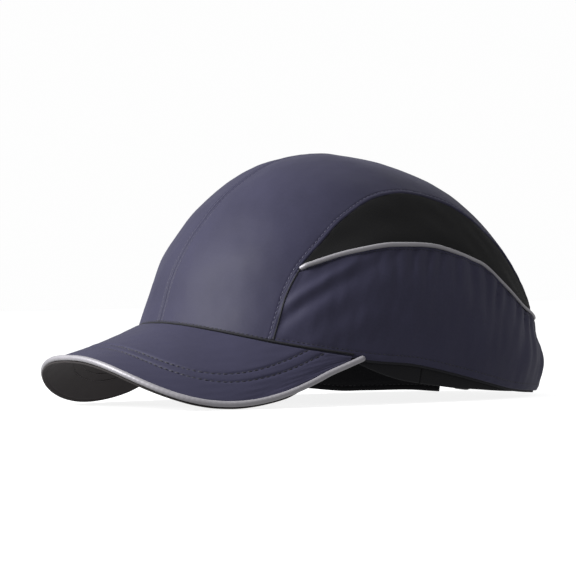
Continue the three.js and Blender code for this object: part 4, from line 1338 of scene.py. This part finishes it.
def patch(name, start, end, depth, material, node, body):
    around, up = grid(np.linspace(0, 1, 40), np.linspace(0, 1, 24))
    z = STRAP_BOTTOM + mix(PATCH_INSET, STRAP_WIDTH - PATCH_INSET, up)
    panel = strip(wall(mix(start, end, around), z, depth))
    panel.relief += 0.10 * wander(panel.u0 / 1.1, panel.v0 / 1.1, 3.0)
    settle(cloth(name, panel, PATCH, material, True, inner_relief=0.2), node, body)


patch("loop_tape", 173, 198, 0.9, "loop", "strap_loop_patch", "root")
patch("hook_tape", 177.5, TAIL_END_ANGLE - 1, 0.1, "hook", "tail_hook_patch", "strap_tail")


# ------------------------------------------------------------------ protective liner
LINER_DEPTH = 4.8
LINER_SHELL = 2.0
LINER_BOTTOM = 17
VENT_COUNT = 8
VENT_WIDTH = 8
VENT_HEIGHT = 20
VENT_MID_Z = 50
PAD_DEPTH = LINER_DEPTH + LINER_SHELL + 0.3
PAD_HEIGHTS = (19, 42)
FOAM = 6.0


def liner_shell():
    """A dome with rounded slots cut through it and softened edges."""
    hub = np.array([0.0, 8.0, LINER_BOTTOM])
    turns, rows = 240, 64
    vertices, faces = [], []
    a, t = grid(np.linspace(0, 2 * math.pi, turns, endpoint=False), np.linspace(math.pi / 2, 0.02, rows))
    out = points(np.sin(a) * np.sin(t), -np.cos(a) * np.sin(t), np.cos(t))
    layers = [cast(hub, hub + out, LINER_DEPTH + depth) for depth in (0, LINER_SHELL)]

    def slot_gap(p):
        """How far a point lies outside the nearest vent slot, negative inside it."""
        best = np.full(p.shape[:-1], 1e9)
        for k in range(VENT_COUNT):
            turn = 2 * math.pi * (k + 0.5) / VENT_COUNT
            ahead = np.array([math.sin(turn), -math.cos(turn), 0.0])
            side = np.array([math.cos(turn), math.sin(turn), 0.0])
            facing = (p @ ahead) > 20
            dx = np.abs(p @ side)
            dz = np.abs(p[..., 2] - VENT_MID_Z)
            straight = VENT_HEIGHT / 2 - VENT_WIDTH / 2
            gap = np.hypot(dx, np.maximum(dz - straight, 0)) - VENT_WIDTH / 2
            best = np.where(facing, np.minimum(best, gap), best)
        return best

    keep = slot_gap(layers[0]) > 0
    index = {}

    def vertex(layer, i, j):
        key = (layer, i % turns, j)
        if key not in index:
            index[key] = len(vertices)
            vertices.append(layers[layer][i % turns, j])
        return index[key]

    def cell(i, j):
        i %= turns
        k = (i + 1) % turns
        return 0 <= j < rows - 1 and keep[i, j] and keep[k, j] and keep[i, j + 1] and keep[k, j + 1]

    for i in range(turns):
        for j in range(rows - 1):
            if not cell(i, j):
                continue
            quad = [(i, j), (i + 1, j), (i + 1, j + 1), (i, j + 1)]
            faces.append(tuple(vertex(0, *q) for q in quad))
            faces.append(tuple(vertex(1, *q) for q in quad[::-1]))
            for other, (p, q) in (((i - 1, j), (quad[3], quad[0])), ((i + 1, j), (quad[1], quad[2])),
                                  ((i, j - 1), (quad[0], quad[1])), ((i, j + 1), (quad[2], quad[3]))):
                top = other[1] == rows - 1
                if not top and not cell(*other):
                    faces.append((vertex(0, *q), vertex(0, *p), vertex(1, *p), vertex(1, *q)))
    for layer in (0, 1):
        ring = [vertex(layer, i, rows - 1) for i in range(turns)]
        apex = len(vertices)
        vertices.append(layers[layer][:, rows - 1].mean(0))
        for i in range(turns):
            pair = (ring[i], ring[(i + 1) % turns])
            faces.append((*pair, apex) if layer == 0 else (*pair[::-1], apex))
    obj = mesh_object("liner_shell_moulded", to_row(np.array(vertices)), faces,
                      "liner_plastic", smooth_angle=40)
    soften = obj.modifiers.new("soften", "BEVEL")
    soften.width = 0.5 * MM
    soften.segments = 2
    soften.limit_method = "ANGLE"
    soften.angle_limit = math.radians(50)
    settle(obj, "liner_shell", "liner")


liner_shell()

for name, node, angles, length, flip in (
        ("front_pad_foam", "pad_front", (-34, 34), 110, False),
        ("rear_pad_foam", "pad_rear", (148, 212), 110, False),
        ("side_pad_foam_left", "pad_side_left", (58, 118), 90, False),
        ("side_pad_foam_right", "pad_side_right", (58, 118), 90, True)):
    pad(name, node, angles, PAD_HEIGHTS, length, PAD_DEPTH, FOAM, "liner", flip=flip)

CROWN_PAD_FACE_Z = 73
CROWN_PAD_HALF = (30, 36)


def crown_pad():
    """A flat-faced pad with rounded corners, its upper face shaped to the shell."""
    share = np.linspace(-1, 1, 46)
    a, b = grid(share, share)
    # squares the circle, so that the outline is a rounded rectangle
    power = 4.5
    most = np.maximum(np.abs(a), np.abs(b))
    stretch = most / np.maximum((np.abs(a) ** power + np.abs(b) ** power) ** (1 / power), 1e-9)
    x = a * stretch * CROWN_PAD_HALF[0]
    y = b * stretch * CROWN_PAD_HALF[1]
    near = (1 - most) * min(CROWN_PAD_HALF)
    floor = points(x, y, 0)
    top = cast(floor, floor + points(0, 0, 1))[..., 2] - LINER_DEPTH - LINER_SHELL - 0.8
    middle = mix(CROWN_PAD_FACE_Z, top, 0.5)
    round_by = turned_edge(near, 1.0, 2.5)
    upper = points(x, y, mix(top, middle, round_by * 0.9))
    lower = points(x, y, mix(CROWN_PAD_FACE_Z, middle, round_by * 0.9))
    uv = np.stack([x, y], -1).reshape(-1, 2) * MM
    obj = make_slab("crown_pad_foam", upper, lower, uv, "foam")
    settle(obj, "pad_crown", "liner")


crown_pad()

# ------------------------------------------------------------------ stage, light and camera
FLOOR_SIZE = 24
FLOOR_Z = -0.0005
FLOOR_GLOW = 0.86
DOME_RADIUS = 14
BACKDROP_GLOW = 0.985


def stage(name, colour, glow):
    """Makes the thing just added part of the stage: the camera sees it, but it lights nothing."""
    material = bpy.data.materials.new(name)
    material.use_nodes = True
    shader = material.node_tree.nodes["Principled BSDF"]
    shader.inputs["Base Color"].default_value = (*colour, 1)
    shader.inputs["Roughness"].default_value = 0.9
    shader.inputs["Specular IOR Level"].default_value = 0.1
    shader.inputs["Emission Color"].default_value = (1, 1, 1, 1)
    shader.inputs["Emission Strength"].default_value = glow
    thing = bpy.context.object
    thing.name = name
    thing.data.materials.append(material)
    thing.visible_diffuse = False
    thing.visible_glossy = False
    return thing


bpy.ops.mesh.primitive_plane_add(size=FLOOR_SIZE, location=(0, 0, FLOOR_Z))
stage("floor", (0.3, 0.3, 0.3), FLOOR_GLOW)
# a pale dome all round gives the picture its ground and lights nothing
bpy.ops.mesh.primitive_uv_sphere_add(segments=48, ring_count=24, radius=DOME_RADIUS)
stage("backdrop", (0.0, 0.0, 0.0), BACKDROP_GLOW).visible_shadow = False

SKY_STRENGTH = 0.55
world = bpy.data.worlds.new("studio")
bpy.context.scene.world = world
world.use_nodes = True
background = world.node_tree.nodes["Background"]
background.inputs["Color"].default_value = (1, 1, 1, 1)
background.inputs["Strength"].default_value = SKY_STRENGTH

CAMERA_AZIMUTH = math.radians(59.1)
CAMERA_ELEVATION = math.radians(-0.16)
CAMERA_ROLL = math.radians(-1.1)
CAMERA_DISTANCE = 1.5
CAMERA_ASIDE = -0.0235
CAMERA_ABOVE = 0.0584
FOCAL_LENGTH = 175.9


def camera_axes():
    a, e = CAMERA_AZIMUTH, CAMERA_ELEVATION
    back = Vector((math.sin(a) * math.cos(e), -math.cos(a) * math.cos(e), math.sin(e)))
    level = Vector((math.cos(a), math.sin(a), 0))
    tilt = Matrix.Rotation(CAMERA_ROLL, 3, back)
    right = tilt @ level
    return right, back.cross(right), back


RIGHT, UP, BACK = camera_axes()
MIDDLE = Vector((0, BODY_SHIFT_Y * MM, 0.0004))


def make_camera():
    data = bpy.data.cameras.new("camera")
    data.sensor_width = 36
    data.lens = FOCAL_LENGTH
    data.clip_start = 0.05
    data.clip_end = 50
    camera = bpy.data.objects.new("camera", data)
    place = MIDDLE + BACK * CAMERA_DISTANCE + RIGHT * CAMERA_ASIDE + UP * CAMERA_ABOVE
    turn = Matrix((RIGHT, UP, BACK)).transposed().to_4x4()
    camera.matrix_world = Matrix.Translation(place) @ turn
    bpy.context.scene.collection.objects.link(camera)
    bpy.context.scene.camera = camera


LIGHT_TARGET = Vector((0, 0, 0.06))


def area_light(name, place, power, size):
    data = bpy.data.lights.new(name, "AREA")
    data.energy = power
    data.size = size
    light = bpy.data.objects.new(name, data)
    light.location = LIGHT_TARGET + place
    light.rotation_mode = "QUATERNION"
    light.rotation_quaternion = place.to_track_quat("Z", "Y")
    bpy.context.scene.collection.objects.link(light)


make_camera()
area_light("key", -RIGHT * 1.35 + BACK * 0.45 + Vector((0, 0, 0.85)), power=62, size=0.8)
area_light("top", Vector((0, 0, 1.6)) - BACK * 0.4, power=2, size=1.2)
bpy.context.scene.view_settings.view_transform = "Standard"
